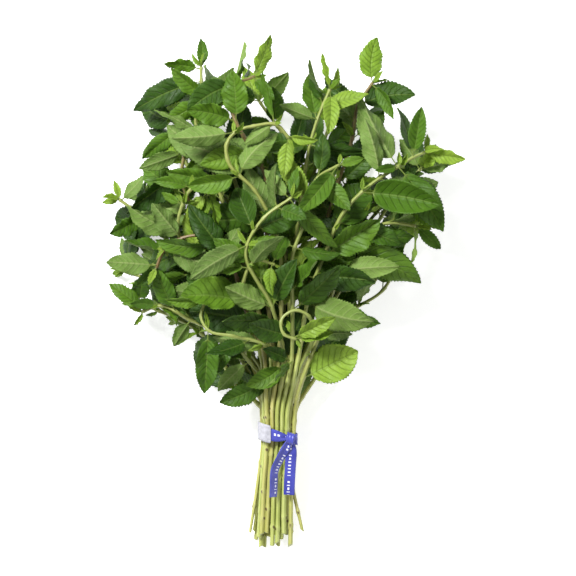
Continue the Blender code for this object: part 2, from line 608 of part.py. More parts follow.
def lay_leaves(sprigs):
    """Every leaf of every sprig: first those laid by hand, then those that find their own way."""
    placed = Placed()
    for sprig in sprigs:
        path, (_, first, second) = sprig["path"], sprig["frames"]
        radius = stem_radius(sprig["along"] / sprig["along"][-1])[:, None]
        rings = [path + radius * (math.cos(a) * first + math.sin(a) * second) for a in np.radians((0, 90, 180, 270))]
        points = np.stack(rings, axis=1).reshape(-1, 3)
        placed.add(points, tube_faces(len(path), 4), sprig["name"])
        sprig["leaves"], sprig["taken"] = [], set()
        last = sprig["along"][-1]
        sprig["nodes"] = [min(nearest_distance(sprig, place), last) for place, _ in sprig["joints"]]
        sprig["nodes"][-1] = last
        sprig["grown"] = [(distance, specs) for distance, (_, specs) in zip(sprig["nodes"], sprig["joints"])]
        sprig["grown"] += [(distance, [AUTO]) for distance in joints_between(sprig)]
    wanted = []
    for order, sprig in enumerate(sprigs):
        for number, (distance, specs) in enumerate(sprig["grown"]):
            rng = np.random.default_rng(7000 + order * 50 + number)
            for spec in specs:
                if spec is AUTO:
                    pair = auto_pair(sprig, distance, number, rng)
                    if distance == sprig["nodes"][-1]:
                        pair.append(dict(pair[0], heading=(pair[0]["heading"] + pair[1]["heading"]) / 2, look=YOUNG))
                    wanted += [(1, -sprig["path"][-1][2], sprig, one, distance, rng) for one in pair]
                else:
                    one = dict(spec, auto=False, stray=7, pitch=4)
                    wanted.append((0, -sprig["path"][-1][2], sprig, one, distance, rng))
    wanted.sort(key=lambda want: want[:2])
    dropped = 0
    for _, _, sprig, spec, distance, rng in wanted:
        one = grow_leaf(sprig, spec, distance, sprig["taken"], placed, rng)
        if one is None:
            dropped += 1
            continue
        sprig["taken"].add(one["from"])
        sprig["leaves"].append(one)
    print("leaves:", sum(len(sprig["leaves"]) for sprig in sprigs), "without room:", dropped)
    return placed


def lay_out():
    """The whole bunch as middle lines and leaves."""
    sprigs = lay_stems()
    return sprigs, lay_leaves(sprigs)


# ---------------------------------------------------------------- solids
def extruded(mesh, face, places, lead=None):
    """Extrudes one face, sets its corners at the places and returns the new end face.

    A thin piece names the corners that lead: each side is then split from a leading corner of
    the old end to its neighbour on the new end, so that the piece's two skins stay parallel.
    """
    face = bmesh.ops.extrude_discrete_faces(mesh, faces=[face])["faces"][0]
    corners = list(face.verts)
    for corner, place in zip(corners, places):
        corner.co = Vector(place) * MM
    if lead is None:
        return face
    behind = []
    for corner in corners:
        others = [edge.other_vert(corner) for edge in corner.link_edges]
        behind.append(next(other for other in others if other not in corners))
    for index in range(4):
        follow = (index + 1) % 4
        edge = mesh.edges.get((corners[index], corners[follow]))
        side = next(found for found in edge.link_faces if found is not face)
        if lead[index]:
            bmesh.utils.face_split(side, behind[index], corners[follow])
        else:
            bmesh.utils.face_split(side, behind[follow], corners[index])
    return face


def matched(face, ring):
    """The ring, started at the corner that twists least from the face's own corners, and which corners lead."""
    corners = np.array([corner.co for corner in face.verts])
    corners -= corners.mean(0)
    ring = np.array(ring)
    ways = [np.roll(order, shift) for order in ((0, 1, 2, 3), (3, 2, 1, 0)) for shift in range(4)]
    best = max(ways, key=lambda way: (corners * (ring[way] - ring.mean(0))).sum())
    return ring[best], best % 2 == 1


def leaf_sections(one):
    """The four-cornered sections that a leaf's solid is lofted through."""
    steps = SHORT_STEPS if one["length"] < SHORT_LEAF else SOLID_STEPS
    flat = leaf_points(one, steps, [-1, 0, 1], np.zeros((len(steps), 3)))
    up = leaf_rows(one, steps)[2]
    sections = []
    for (left, middle, right), rise, step in zip(flat, up, steps):
        thick = TIP_THICK if step == 1.0 else LEAF_THICK
        sections.append([middle + rise * thick, right, middle - rise * thick, left])
    return sections


def add_leaf(mesh, face, one):
    """Grows a leaf out of one face of the stem."""
    for number, ring in enumerate(leaf_sections(one)):
        places, edges = matched(face, ring)
        face = extruded(mesh, face, places, edges if number else None)


def stem_stations(sprig):
    """Distances along the stem for the solid's sections: two at each joint, more in the bends."""
    along, path = sprig["along"], sprig["path"]
    last = along[-1]
    joints = sorted({distance for distance, _ in sprig["taken"]})
    fixed = []
    for distance in joints:
        ahead = 0 if distance == last else NODE_HALF
        fixed += [distance - (NODE_HALF * 2 - ahead), distance + ahead]
    kept, here = [0.0], 0
    while here < len(path) - 1:
        there = here + 1
        while there + 1 < len(path):
            chord = unit(path[there + 1] - path[here])
            between = path[here + 1:there + 1] - path[here]
            off = between - (between @ chord)[:, None] * chord
            if np.linalg.norm(off, axis=1).max() > STEM_SAG:
                break
            there += 1
        kept.append(along[there])
        here = there
    free = [distance for distance in kept if all(abs(distance - place) > 2.5 for place in fixed)]
    if last not in fixed and last not in free:
        free.append(last)
    return sorted(free + fixed), joints


def stem_ring(sprig, distance):
    """The four corners of the square stem at a distance from its cut end."""
    middle, _, first, second, radius = station(sprig, distance)
    turns = np.radians((0, 90, 180, 270))
    return [middle + radius * (math.cos(turn) * first + math.sin(turn) * second) for turn in turns]


def sprig_mesh(sprig):
    """One sprig as one closed solid: a square stem extruded along its line, leaves out of its sides."""
    mesh = bmesh.new()
    distances, joints = stem_stations(sprig)
    bmesh.ops.create_circle(mesh, cap_ends=True, segments=4, radius=MM)
    mesh.faces.ensure_lookup_table()
    cap = mesh.faces[0]
    for corner, place in zip(cap.verts, stem_ring(sprig, distances[0])):
        corner.co = Vector(place) * MM
    sides_at = {}
    for distance in distances[1:]:
        cap = extruded(mesh, cap, stem_ring(sprig, distance))
        corners = list(cap.verts)
        sides = []
        for index in range(4):
            edge = mesh.edges.get((corners[index], corners[(index + 1) % 4]))
            sides.append(next(face for face in edge.link_faces if face is not cap))
        for at in joints:
            ahead = 0 if at == sprig["along"][-1] else NODE_HALF
            if abs(distance - at - ahead) < 1e-6:
                sides_at[at] = sides
    for one in sprig["leaves"]:
        at, side = one["from"]
        add_leaf(mesh, cap if side == "cap" else sides_at[at][side], one)
    return mesh


def new_object(name, mesh, material, collection):
    """Puts a finished bmesh into the scene as its own object."""
    bmesh.ops.recalc_face_normals(mesh, faces=mesh.faces)
    data = bpy.data.meshes.new(name)
    mesh.to_mesh(data)
    mesh.free()
    data.materials.append(material)
    built = bpy.data.objects.new(name, data)
    collection.objects.link(built)
    return built


def new_material(name, colour, roughness):
    """A plain Principled material."""
    material = bpy.data.materials.new(name)
    material.use_nodes = True
    shader = material.node_tree.nodes["Principled BSDF"]
    shader.inputs["Base Color"].default_value = (*colour, 1)
    shader.inputs["Roughness"].default_value = roughness
    shader.inputs["Metallic"].default_value = 0
    return material


# ---------------------------------------------------------------- ribbon and tag
def snug_outline(sprigs, gap, count):
    """Places round the tied stems, as a ribbon pulled tight passes, with outward directions."""
    discs = []
    for sprig in sprigs:
        radius = stem_radius(sprig["along"] / sprig["along"][-1])
        near = np.abs(sprig["path"][:, 1] - TIE_Y - 1.8) < BAND_WIDTH / 2 + 5
        discs.append(np.column_stack([sprig["path"][near][:, (0, 2)], radius[near]]))
    discs = np.concatenate(discs)
    turns = np.radians(np.arange(0, 360, 4))
    hull = []
    for turn in turns:
        outward = np.array([math.cos(turn), math.sin(turn)])
        reach = discs[:, :2] @ outward + discs[:, 2]
        best = discs[int(reach.argmax())]
        hull.append(best[:2] + outward * (best[2] + gap))
    hull.append(hull[0])
    flat = evenly(np.column_stack([hull, np.zeros(len(hull))]), count + 1)[:, :2]
    along = np.roll(flat[:-1], -1, axis=0) - np.roll(flat[:-1], 1, axis=0)
    outward = unit(np.column_stack([along[:, 1], -along[:, 0]]))
    return flat[:-1], outward


def band_middle(x):
    """Where along the stems the ribbon's middle is: it climbs towards the tips on the left."""
    return TIE_Y + BAND_TILT * (x - TIE_X) + BAND_CLIMB * np.minimum(x - TIE_X, 0) ** 2


def wrapped_ring(place, outward, thick, width, shift=0.0):
    """Four corners of a strip's section where it passes round the bundle at a place."""
    y = band_middle(place[0]) + shift
    outer = place + outward * thick
    return [
        (place[0], y - width / 2, place[1]), (outer[0], y - width / 2, outer[1]),
        (outer[0], y + width / 2, outer[1]), (place[0], y + width / 2, place[1]),
    ]


def strip_ring(middle, forward, turn, width, thick):
    """Four corners of a flat strip's section, turned about its length by an angle."""
    flat = unit(np.cross(forward, (0.0, 0.0, 1.0)))
    rise = np.cross(flat, forward)
    side = flat * math.cos(turn) + rise * math.sin(turn)
    up = np.cross(side, forward)
    return [
        middle - side * width / 2 - up * thick / 2, middle + side * width / 2 - up * thick / 2,
        middle + side * width / 2 + up * thick / 2, middle - side * width / 2 + up * thick / 2,
    ]


def lofted(rings):
    """A mesh that starts as one face and is extruded through the rings."""
    mesh = bmesh.new()
    bmesh.ops.create_circle(mesh, cap_ends=True, segments=4, radius=MM)
    mesh.faces.ensure_lookup_table()
    face = mesh.faces[0]
    for corner, place in zip(face.verts, rings[0]):
        corner.co = Vector(place) * MM
    for ring in rings[1:]:
        face = extruded(mesh, face, ring, (True, False, False, True))
    return mesh, face


def close_ends(mesh):
    """Fills every open end."""
    bmesh.ops.holes_fill(mesh, edges=[edge for edge in mesh.edges if edge.is_boundary], sides=0)


def tail_path(sprigs, places):
    """A ribbon's tail over the stems: through the places, each raised above the stems beneath it."""
    points = []
    for x, y, lift in places:
        highest = 0.0
        for sprig in sprigs:
            near = np.abs(sprig["path"][:, :2] - (x, y)).max(1) < 8
            if near.any():
                highest = max(highest, sprig["path"][near, 2].max() + STEM_RADIUS)
        points.append((x, y, highest + lift))
    return smooth_path(points, TAIL_SECTIONS)


def ribbon_lines(sprigs):
    """The band's outline, the knot's middle, and each tail's path with its turn about its length."""
    outline, outward = snug_outline(sprigs, RIBBON_GAP, BAND_SECTIONS)
    top = outline[np.abs(outline[:, 0] - KNOT_X) < 3, 1].max()
    knot = np.array([KNOT_X, KNOT_Y, top + KNOT_SIZE[2] * 0.42])
    tails = []
    for places, turns in ((TAIL_ONE, TAIL_ONE_TURN), (TAIL_TWO, TAIL_TWO_TURN)):
        path = tail_path(sprigs, places)
        path[0] = knot
        path[1] = (path[0] + path[2]) / 2
        tails.append((path, np.radians(np.interp(np.linspace(0, 1, len(path)), (0, 0.35, 1), turns))))
    return outline, outward, knot, tails


def ribbon_parts(sprigs):
    """The ribbon's band, two tails and knot as separate closed meshes."""
    outline, outward, knot_middle, tails = ribbon_lines(sprigs)
    rings = [wrapped_ring(place, out, RIBBON_THICK, BAND_WIDTH) for place, out in zip(outline, outward)]
    band, face = lofted(rings + rings[:1])
    bmesh.ops.delete(band, geom=[face], context="FACES_ONLY")
    bmesh.ops.remove_doubles(band, verts=band.verts, dist=1e-7)
    parts = [band]
    for path, turn in tails:
        forward = unit(np.gradient(path, axis=0))
        tail, _ = lofted([strip_ring(*row, TAIL_WIDTH, RIBBON_THICK) for row in zip(path, forward, turn)])
        close_ends(tail)
        parts.append(tail)
    knot = bmesh.new()
    bmesh.ops.create_icosphere(knot, subdivisions=2, radius=MM / 2)
    bmesh.ops.scale(knot, vec=KNOT_SIZE, verts=knot.verts)
    bmesh.ops.translate(knot, vec=knot_middle * MM, verts=knot.verts)
    parts.append(knot)
    return parts


def tag_mesh(sprigs):
    """The paper tag: a small sheet wrapped over the ribbon on one side of the bundle."""
    outline, outward = snug_outline(sprigs, RIBBON_GAP + RIBBON_THICK + TAG_GAP, BAND_SECTIONS * 2)
    angle = np.degrees(np.arctan2(outward[:, 1], outward[:, 0])) % 360
    covered = (outline[:, 0] < TAG_RIGHT) & (angle > 85) & (angle < TAG_LAST_TURN)
    order = np.nonzero(covered)[0]
    rings = [wrapped_ring(outline[i], outward[i], TAG_THICK, TAG_WIDTH, TAG_SHIFT) for i in order]
    mesh, _ = lofted(rings)
    close_ends(mesh)
    return mesh


def joined(parts, name, material, collection):
    """One solid made of the parts, each united with the first."""
    whole = new_object(name, parts[0], material, collection)
    for number, part in enumerate(parts[1:]):
        cutter = new_object(name + "_with_" + str(number), part, material, collection)
        cutter.hide_render = True
        union = whole.modifiers.new("union", "BOOLEAN")
        union.operation = "UNION"
        union.solver = "EXACT"
        union.object = cutter
    graph = bpy.context.evaluated_depsgraph_get()
    solid = bpy.data.meshes.new_from_object(whole.evaluated_get(graph))
    whole.modifiers.clear()
    whole.data = solid
    for built in list(collection.objects):
        if built.name.startswith(name + "_with_"):
            bpy.data.objects.remove(built)
    return whole


def centred(objects):
    """Moves every object so that the whole stands on the floor with the origin under its middle."""
    corners = np.concatenate([[vertex.co for vertex in built.data.vertices] for built in objects])
    low, high = corners.min(0), corners.max(0)
    shift = Vector((-(low[0] + high[0]) / 2, -(low[1] + high[1]) / 2, -low[2]))
    for built in objects:
        built.data.transform(Matrix.Translation(shift))
    print("moved by", [round(value / MM, 3) for value in shift], "size", [round(v / MM, 1) for v in high - low])


# ---------------------------------------------------------------- the bunch
def build():
    """Makes every object of the bunch."""
    for old in list(bpy.data.objects):
        bpy.data.objects.remove(old)
    collection = bpy.data.collections.new("mint_bunch")
    bpy.context.scene.collection.children.link(collection)
    sprigs, _ = lay_out()
    objects = []
    for number, sprig in enumerate(sprigs):
        mesh = sprig_mesh(sprig)
        close_ends(mesh)
        shade = 0.8 + 0.4 * ((number * 7) % 11) / 10
        green = new_material(sprig["name"] + "_green", tuple(shade * value for value in LEAF_GREEN), 0.55)
        objects.append(new_object(sprig["name"], mesh, green, collection))
    blue = new_material("ribbon_blue", RIBBON_BLUE, 0.35)
    objects.append(joined(ribbon_parts(sprigs), "ribbon_tie", blue, collection))
    white = new_material("tag_white", TAG_WHITE, 0.7)
    objects.append(new_object("paper_tag", tag_mesh(sprigs), white, collection))
    centred(objects)
    print("triangles:", sum(len(polygon.vertices) - 2 for built in objects for polygon in built.data.polygons))


build()
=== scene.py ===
# %% [markdown]
# # A tied bunch of fresh mint
#
# Thirty-two cut mint sprigs lie side by side on a pale table. A blue ribbon goes once round
# their stems, is knotted on top and leaves two tails, and a small white paper tag is wrapped
# over the ribbon. The solids that carry the collision are loaded first; this script then gives
# every piece its real surface: square ribbed stems with joints and scars, toothed and veined
# leaves, satin ribbon, creased paper.

import math

import bpy
import numpy as np
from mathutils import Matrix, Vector
from mathutils.bvhtree import BVHTree


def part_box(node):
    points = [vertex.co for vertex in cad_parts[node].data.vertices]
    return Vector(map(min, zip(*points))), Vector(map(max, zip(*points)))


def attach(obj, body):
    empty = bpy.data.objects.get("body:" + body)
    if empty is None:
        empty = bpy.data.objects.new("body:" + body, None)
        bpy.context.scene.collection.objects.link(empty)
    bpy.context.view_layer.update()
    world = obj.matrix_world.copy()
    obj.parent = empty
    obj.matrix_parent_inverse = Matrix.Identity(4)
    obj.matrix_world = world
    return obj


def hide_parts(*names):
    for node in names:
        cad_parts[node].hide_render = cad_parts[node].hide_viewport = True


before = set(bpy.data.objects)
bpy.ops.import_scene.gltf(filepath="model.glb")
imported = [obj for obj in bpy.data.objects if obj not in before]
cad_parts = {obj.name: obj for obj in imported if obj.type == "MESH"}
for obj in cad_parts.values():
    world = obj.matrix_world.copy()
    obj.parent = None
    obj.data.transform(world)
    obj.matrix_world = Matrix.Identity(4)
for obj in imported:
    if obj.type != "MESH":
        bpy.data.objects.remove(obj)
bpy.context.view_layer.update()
MM = 0.001

# %% [markdown]
# ## How the sprigs lie
#
# A mint sprig is a square stem with a pair of leaves at each joint, each pair at right angles
# to the last. In a bunch the stems are squeezed together at the tie and fan out above it, and
# the heavy tips bend over. The same rules that laid out the solids lay out the looks, so that
# every leaf here covers the solid leaf that stands for it. The numbers are in millimetres.
#
# First come the measures of the tied stems and of a leaf.

# %% Measures of stems and leaves
STEM_PITCH = 3.3  # between neighbours in one row of the tied bundle
ROW_PITCH = 3.2  # between rows of the tied bundle
ROWS = (6, 7, 7, 7, 5)  # stems in each row, from the lowest row up
STEM_RADIUS = 1.55  # centre to corner of the square stem, at its cut end
TIP_RADIUS = 1.05  # the same at the growing tip
TIE_X = -4.0  # where the tie is sideways
TIE_Y = -102.0  # where the ribbon goes round
TIE_Z = 21.0  # height of the bundle's middle there
CUT_X = -7.5  # where the cut ends are sideways
CUT_Y = -178.5  # where the stems are cut
CUT_Z = 9.2  # height of the bundle's middle there
FLOOR = 0.0
STEM_GAP = 0.3  # kept between neighbouring stems
NODE_HALF = 1.2  # half the length of a stem's joint, where leaves grow
SAMPLES = 72  # points along each stem's middle line
TIED_SAMPLES = 24  # of them from the cut end to just above the tie
MOST_BARE = 22.0  # the longest bare piece of stem above the tie

LEAF_THICK = 0.45  # half the thickness of a leaf along its midrib
STALK_HALF = 0.55  # half the width of a leaf's stalk
STALK_SHARE = 0.13  # the stalk's share of a leaf
WIDTH_SHARE = 0.225  # half a leaf's width as a share of its length
TIP_HALF = 0.35  # half the width of a leaf's very tip
CLEARANCE = 0.6  # kept between a leaf and what it lies beside
FLOOR_MARGIN = 0.75  # from the floor to the middle of a leaf pressed on it
ATTEMPTS = 46  # ways tried before a leaf is left out
SOLID_STEPS = (STALK_SHARE, 0.34, 0.56, 0.79, 1.0)  # where a leaf's solid has its sections
BLADE_STEPS = (0.2, 0.32, 0.45, 0.6, 0.75, 0.9, 1.0)
STALK_STEPS = (0.0, 0.1, 0.2)
ALL_STEPS = (0.0, 0.1, 0.2, 0.32, 0.45, 0.6, 0.75, 0.9, 1.0)

print("stems in the tie:", sum(ROWS), "from cut ends to tie:", TIE_Y - CUT_Y, "mm")

# %% [markdown]
# The ribbon goes round the stems at the tie, a little askew. Its two tails pass through the places
# given here: sideways, along, and height above the stems under them.

# %% Measures of ribbon and tag
RIBBON_THICK = 0.45
RIBBON_GAP = 0.35  # between the stems and the ribbon
BAND_WIDTH = 8.6
BAND_TILT = -0.18  # the band runs towards the cut ends as it goes right
BAND_CLIMB = 0.008  # and a little more steeply on the left
BAND_SECTIONS = 44
KNOT_X = 4.4
KNOT_Y = -103.4
KNOT_SIZE = (7.4, 9.2, 6.0)
TAIL_WIDTH = 7.8
TAIL_SECTIONS = 12
TAIL_ONE = (
    (4.4, -103, 3.0), (0.7, -111, 4.0), (-3.6, -119.5, 4.4), (-6.4, -126, 4.0),
    (-7.4, -135, 3.8), (-7.8, -145, 4.2),
)
TAIL_ONE_TURN = (0, 42, 48)  # degrees about its length, from the knot to its end
TAIL_TWO = ((4.4, -103, 3.0), (5.4, -111, 2.6), (4.7, -120, 2.2), (4.0, -132, 1.8), (3.5, -143.5, 2.6))
TAIL_TWO_TURN = (0, 6, -8)
TAG_THICK = 0.35
TAG_GAP = 0.35  # between the ribbon and the tag
TAG_WIDTH = 12.6
TAG_RIGHT = -9.1  # where the tag's right edge is
TAG_LAST_TURN = 232  # degrees round the bundle to which the tag reaches

print("ribbon", BAND_WIDTH, "mm wide, tag", TAG_WIDTH, "mm wide")

# %% [markdown]
# ## The sprigs on top
#
# Twenty sprigs are listed one by one. Each has its slot in the tie (row, place) and its joints from
# just above the tie to the tip; a joint has its leaves with their headings and lengths, or a
# pair that finds its own way.

# %% Sprigs listed one by one
# How a leaf shows: its darker upper side, its paler underside, or young growth.
DARK, MID, YOUNG, UNDER = "dark", "mid", "young", "under"
AUTO = "a pair of leaves that finds its own way"


def leaf(heading, length, look=MID, wide=1.0):
    """A leaf that points to heading, in degrees from +X, with its length in mm."""
    return {"heading": heading, "length": length, "look": look, "wide": wide}


def joint(x, y, z, *leaves):
    """A joint of the stem, in mm, with the leaves that grow there."""
    return (x, y, z), list(leaves)


LAID = {
    "sprig_01": ((4, 0), [  # turns out to the left under its own weight
        joint(-13, -66, 36.5, leaf(212, 34, MID, 1.15), leaf(35, 30, UNDER, 1.2)),
        joint(-14, -45, 40, AUTO),
        joint(-28, -10, 58, AUTO), joint(-40, 25, 70, AUTO), joint(-59, 39, 74),
        joint(-83, 30, 70, leaf(81, 51, UNDER), leaf(-20, 46, UNDER)),
        joint(-89, 17, 63, leaf(175, 38, UNDER), leaf(160, 30, DARK), leaf(225, 19)),
    ]),
    "sprig_02": ((4, 1), [  # the long S with a hanging head
        joint(-4, -50, 42, leaf(208, 34, UNDER, 1.1), AUTO), joint(-2, -10, 60, AUTO),
        joint(-4, 35, 74, AUTO), joint(-20, 70, 84),
        joint(-39, 91, 88), joint(-40, 102, 89), joint(-35, 110, 89, leaf(190, 42, UNDER)),
        joint(-20, 115, 90), joint(-5, 116, 89, leaf(100, 37, MID, 0.6), leaf(212, 25, UNDER)),
        joint(3, 107, 85, leaf(262, 28, YOUNG), leaf(-21, 21, YOUNG)),
    ]),
    "sprig_03": ((4, 2), [  # arches over the middle
        joint(0, -50, 44, leaf(236, 28, MID, 1.2), AUTO), joint(-8, -12, 66, AUTO),
        joint(-26, 31, 86, leaf(203, 44, UNDER), leaf(15, 22)),
        joint(-14, 51, 91),
        joint(5, 65, 90, leaf(-54, 46, MID, 0.7), leaf(134, 27, UNDER), leaf(82, 22)),
    ]),
    "sprig_04": ((4, 3), [  # straight up the middle
        joint(5, -50, 45, leaf(60, 30, UNDER, 1.2), leaf(160, 30, DARK), leaf(228, 26, MID, 1.2)),
        joint(6, -14, 64, AUTO), joint(7, 29, 76, leaf(155, 24), leaf(-18, 31, DARK)),
        joint(14, 47, 78), joint(24, 80, 76, leaf(-47, 32, MID), leaf(70, 30, DARK)),
        joint(38, 88, 74, leaf(-128, 48, MID, 0.75), leaf(-80, 17, YOUNG), leaf(20, 18)),
    ]),
    "sprig_05": ((4, 4), [  # the long branch to the right
        joint(6.6, -66, 38.6, leaf(184, 38, DARK, 1.35)), joint(10, -50, 44, leaf(-32, 34, MID, 1.3), AUTO),
        joint(17, -5, 60, leaf(-36, 46, UNDER, 1.35), leaf(128, 24, MID, 1.5)),
        joint(28, 25, 68, AUTO), joint(45, 60, 76), joint(55, 70, 76, leaf(-4, 56, DARK, 1.1)),
        joint(81, 88, 72, leaf(123, 57, UNDER), leaf(-48, 54, MID), leaf(201, 18)),
        joint(91, 94, 69, leaf(82, 35, MID), leaf(98, 36, DARK)),
        joint(98, 97, 66, leaf(-10, 30, YOUNG), leaf(32, 15, YOUNG)),
    ]),
    "sprig_06": ((3, 0), [  # a hook on the left
        joint(-16, -45, 36), joint(-40, -5, 52, AUTO), joint(-62, 25, 62, AUTO),
        joint(-74, 42, 70, leaf(161, 42, UNDER)),
        joint(-71, 60, 73, leaf(160, 16, MID)), joint(-64, 72, 74, leaf(150, 25, MID)),
        joint(-57, 74, 74), joint(-53, 68, 71, leaf(229, 23, YOUNG), leaf(258, 19, YOUNG), leaf(-54, 23)),
    ]),
    "sprig_07": ((3, 1), [  # doubles back on the lower left
        joint(-9, -60, 38), joint(-13, -38, 58, leaf(165, 34, UNDER)), joint(-36, -31, 64),
        joint(-53, -27, 62, leaf(268, 44, DARK)), joint(-58, -18, 60),
        joint(-55, -6, 58, leaf(183, 27), leaf(120, 26, DARK)),
    ]),
    "sprig_08": ((3, 2), [  # the reddish stem to the upper left
        joint(-8, -45, 38), joint(-11, -8, 52, AUTO), joint(-12, 35, 62, AUTO),
        joint(-15, 86, 70, leaf(166, 60, UNDER), leaf(-20, 26, DARK)), joint(-27, 106, 73, leaf(-30, 18)),
        joint(-37, 130, 72), joint(-35, 143, 70, leaf(194, 38, DARK, 1.2), leaf(85, 32, MID, 1.2)),
        joint(-21, 150, 66, leaf(60, 31, YOUNG), leaf(-42, 23), leaf(116, 24, DARK)),
    ]),
    "sprig_09": ((3, 3), [  # a small shoot near the middle
        joint(-4, -55, 38), joint(-20, -20, 60, AUTO), joint(-28, 8, 74),
        joint(-20, 22, 79, leaf(170, 32, MID)),
        joint(-7, 19, 77, leaf(253, 22, YOUNG, 1.1), leaf(62, 23, MID)),
    ]),
    "sprig_10": ((3, 4), [  # curls into a C on the lower right
        joint(10, -55, 42), joint(20, -32, 58), joint(17, -17, 66), joint(8, -13, 68), joint(-2, -20, 69),
        joint(0, -30, 69), joint(8, -33, 67, leaf(25, 31, YOUNG), leaf(3, 27, YOUNG)),
    ]),
    "sprig_11": ((3, 5), [  # to the right, behind the long branch
        joint(12, -50, 36), joint(30, -8, 50, leaf(-30, 38, MID)),
        joint(39, 29, 58, leaf(-68, 34, MID, 1.2)),
        joint(52, 40, 58, leaf(165, 38, DARK), leaf(-12, 40, MID)), joint(74, 48, 56, AUTO),
        joint(92, 46, 54, leaf(-75, 25, YOUNG), leaf(-40, 24, MID)),
    ]),
    "sprig_12": ((3, 6), [  # its lowest pair opens just above the tie
        joint(13, -62, 47, leaf(29, 42, YOUNG, 1.6), leaf(196, 30, DARK, 1.15)),
        joint(24, -32, 50, leaf(14, 24, UNDER), leaf(60, 30)), joint(34, 0, 56, AUTO),
        joint(44, 30, 60, leaf(-12, 54, MID, 1.05), leaf(100, 30, DARK)), joint(56, 55, 60, AUTO),
    ]),
    "sprig_13": ((2, 0), [  # the lone leaf on the far left
        joint(-16, -55, 28), joint(-40, -32, 40, AUTO),
        joint(-66, -20, 46, leaf(233, 21, UNDER, 1.5), AUTO),
        joint(-88, -10, 44, leaf(-37, 18, MID), leaf(170, 20, MID)),
        joint(-99, -14, 41, leaf(138, 30, MID)),
    ]),
    "sprig_14": ((2, 1), [  # low on the left, leaves near the tie
        joint(-12, -66, 30, leaf(188, 26, MID, 1.2), leaf(228, 18, DARK, 0.7)),
        joint(-24, -50, 42, leaf(215, 30, UNDER), leaf(160, 32, MID)),
        joint(-36, -34, 48, leaf(238, 32, MID), leaf(100, 26, MID)), joint(-50, -6, 50, AUTO),
        joint(-66, 14, 50, leaf(200, 30), leaf(150, 26), leaf(-10, 32, DARK)),
    ]),
    "sprig_15": ((2, 2), [  # out to the left
        joint(-14, -50, 28), joint(-34, -5, 42, AUTO), joint(-52, 35, 50, AUTO),
        joint(-64, 58, 54, leaf(175, 40, UNDER)), joint(-72, 80, 56, leaf(206, 43, DARK), leaf(40, 30)),
        joint(-70, 98, 58, leaf(200, 32, UNDER), leaf(-40, 42, DARK, 1.25)),
        joint(-74, 114, 57, leaf(215, 34, MID), leaf(100, 20)),
    ]),
    "sprig_16": ((2, 3), [  # pale head hanging on the upper left
        joint(-8, -50, 32), joint(-22, -2, 46, AUTO), joint(-38, 48, 56, AUTO), joint(-52, 92, 62, AUTO),
        joint(-60, 126, 66), joint(-52, 133, 66, leaf(245, 20, YOUNG), leaf(-55, 21, YOUNG), leaf(200, 33)),
    ]),
    "sprig_17": ((2, 4), [  # up to the top left corner
        joint(-6, -50, 30), joint(-12, -6, 44, AUTO), joint(-24, 44, 50, AUTO), joint(-38, 88, 54, AUTO),
        joint(-50, 124, 56, AUTO), joint(-58, 148, 55, leaf(192, 48, DARK), leaf(140, 26, DARK)),
        joint(-58, 157, 54, leaf(163, 26, MID), leaf(80, 20)),
    ]),
    "sprig_18": ((2, 5), [  # young top, upper right of the middle
        joint(4, -50, 30), joint(4, -8, 44, AUTO), joint(8, 34, 52, AUTO), joint(13, 72, 58, AUTO),
        joint(18, 102, 62, leaf(-19, 36, DARK), leaf(190, 34, MID)),
        joint(24, 122, 64, leaf(160, 28, UNDER), leaf(111, 34, MID)),
        joint(32, 141, 63, leaf(98, 28, YOUNG, 0.6), leaf(70, 21, YOUNG), leaf(-84, 33, YOUNG)),
    ]),
    "sprig_19": ((2, 6), [  # round-tipped leaf at the top right
        joint(8, -50, 28), joint(15, -8, 40, AUTO), joint(26, 36, 46, AUTO), joint(38, 76, 50, AUTO),
        joint(48, 108, 52, AUTO), joint(52, 131, 52, leaf(28, 38, DARK, 1.2), leaf(150, 30, DARK)),
        joint(62, 146, 52, leaf(102, 31, YOUNG, 1.3), leaf(-38, 30, MID)),
    ]),
    "sprig_20": ((0, 5), [  # right, under the long branch
        joint(14, -50, 28), joint(32, -12, 40, AUTO), joint(52, 22, 44, AUTO), joint(68, 52, 46, AUTO),
        joint(84, 74, 48, leaf(-60, 40, MID), leaf(70, 38, DARK)), joint(96, 86, 50, AUTO),
    ]),
}
given = [spec for _, joints in LAID.values() for _, specs in joints for spec in specs]
print("sprigs:", len(LAID), "leaves laid by hand:", sum(spec is not AUTO for spec in given))

# %% [markdown]
# ## The sprigs underneath
#
# Twelve more lie under them. Each has its slot, the way it points in degrees left (+) or right
# (-) of +Y, how far its tip is from the tie, and the height of its tip. A few stems have cut ends
# that stray from the bundle, (sideways, along) from where they would end. Seen from above, the
# foliage keeps inside one outline.

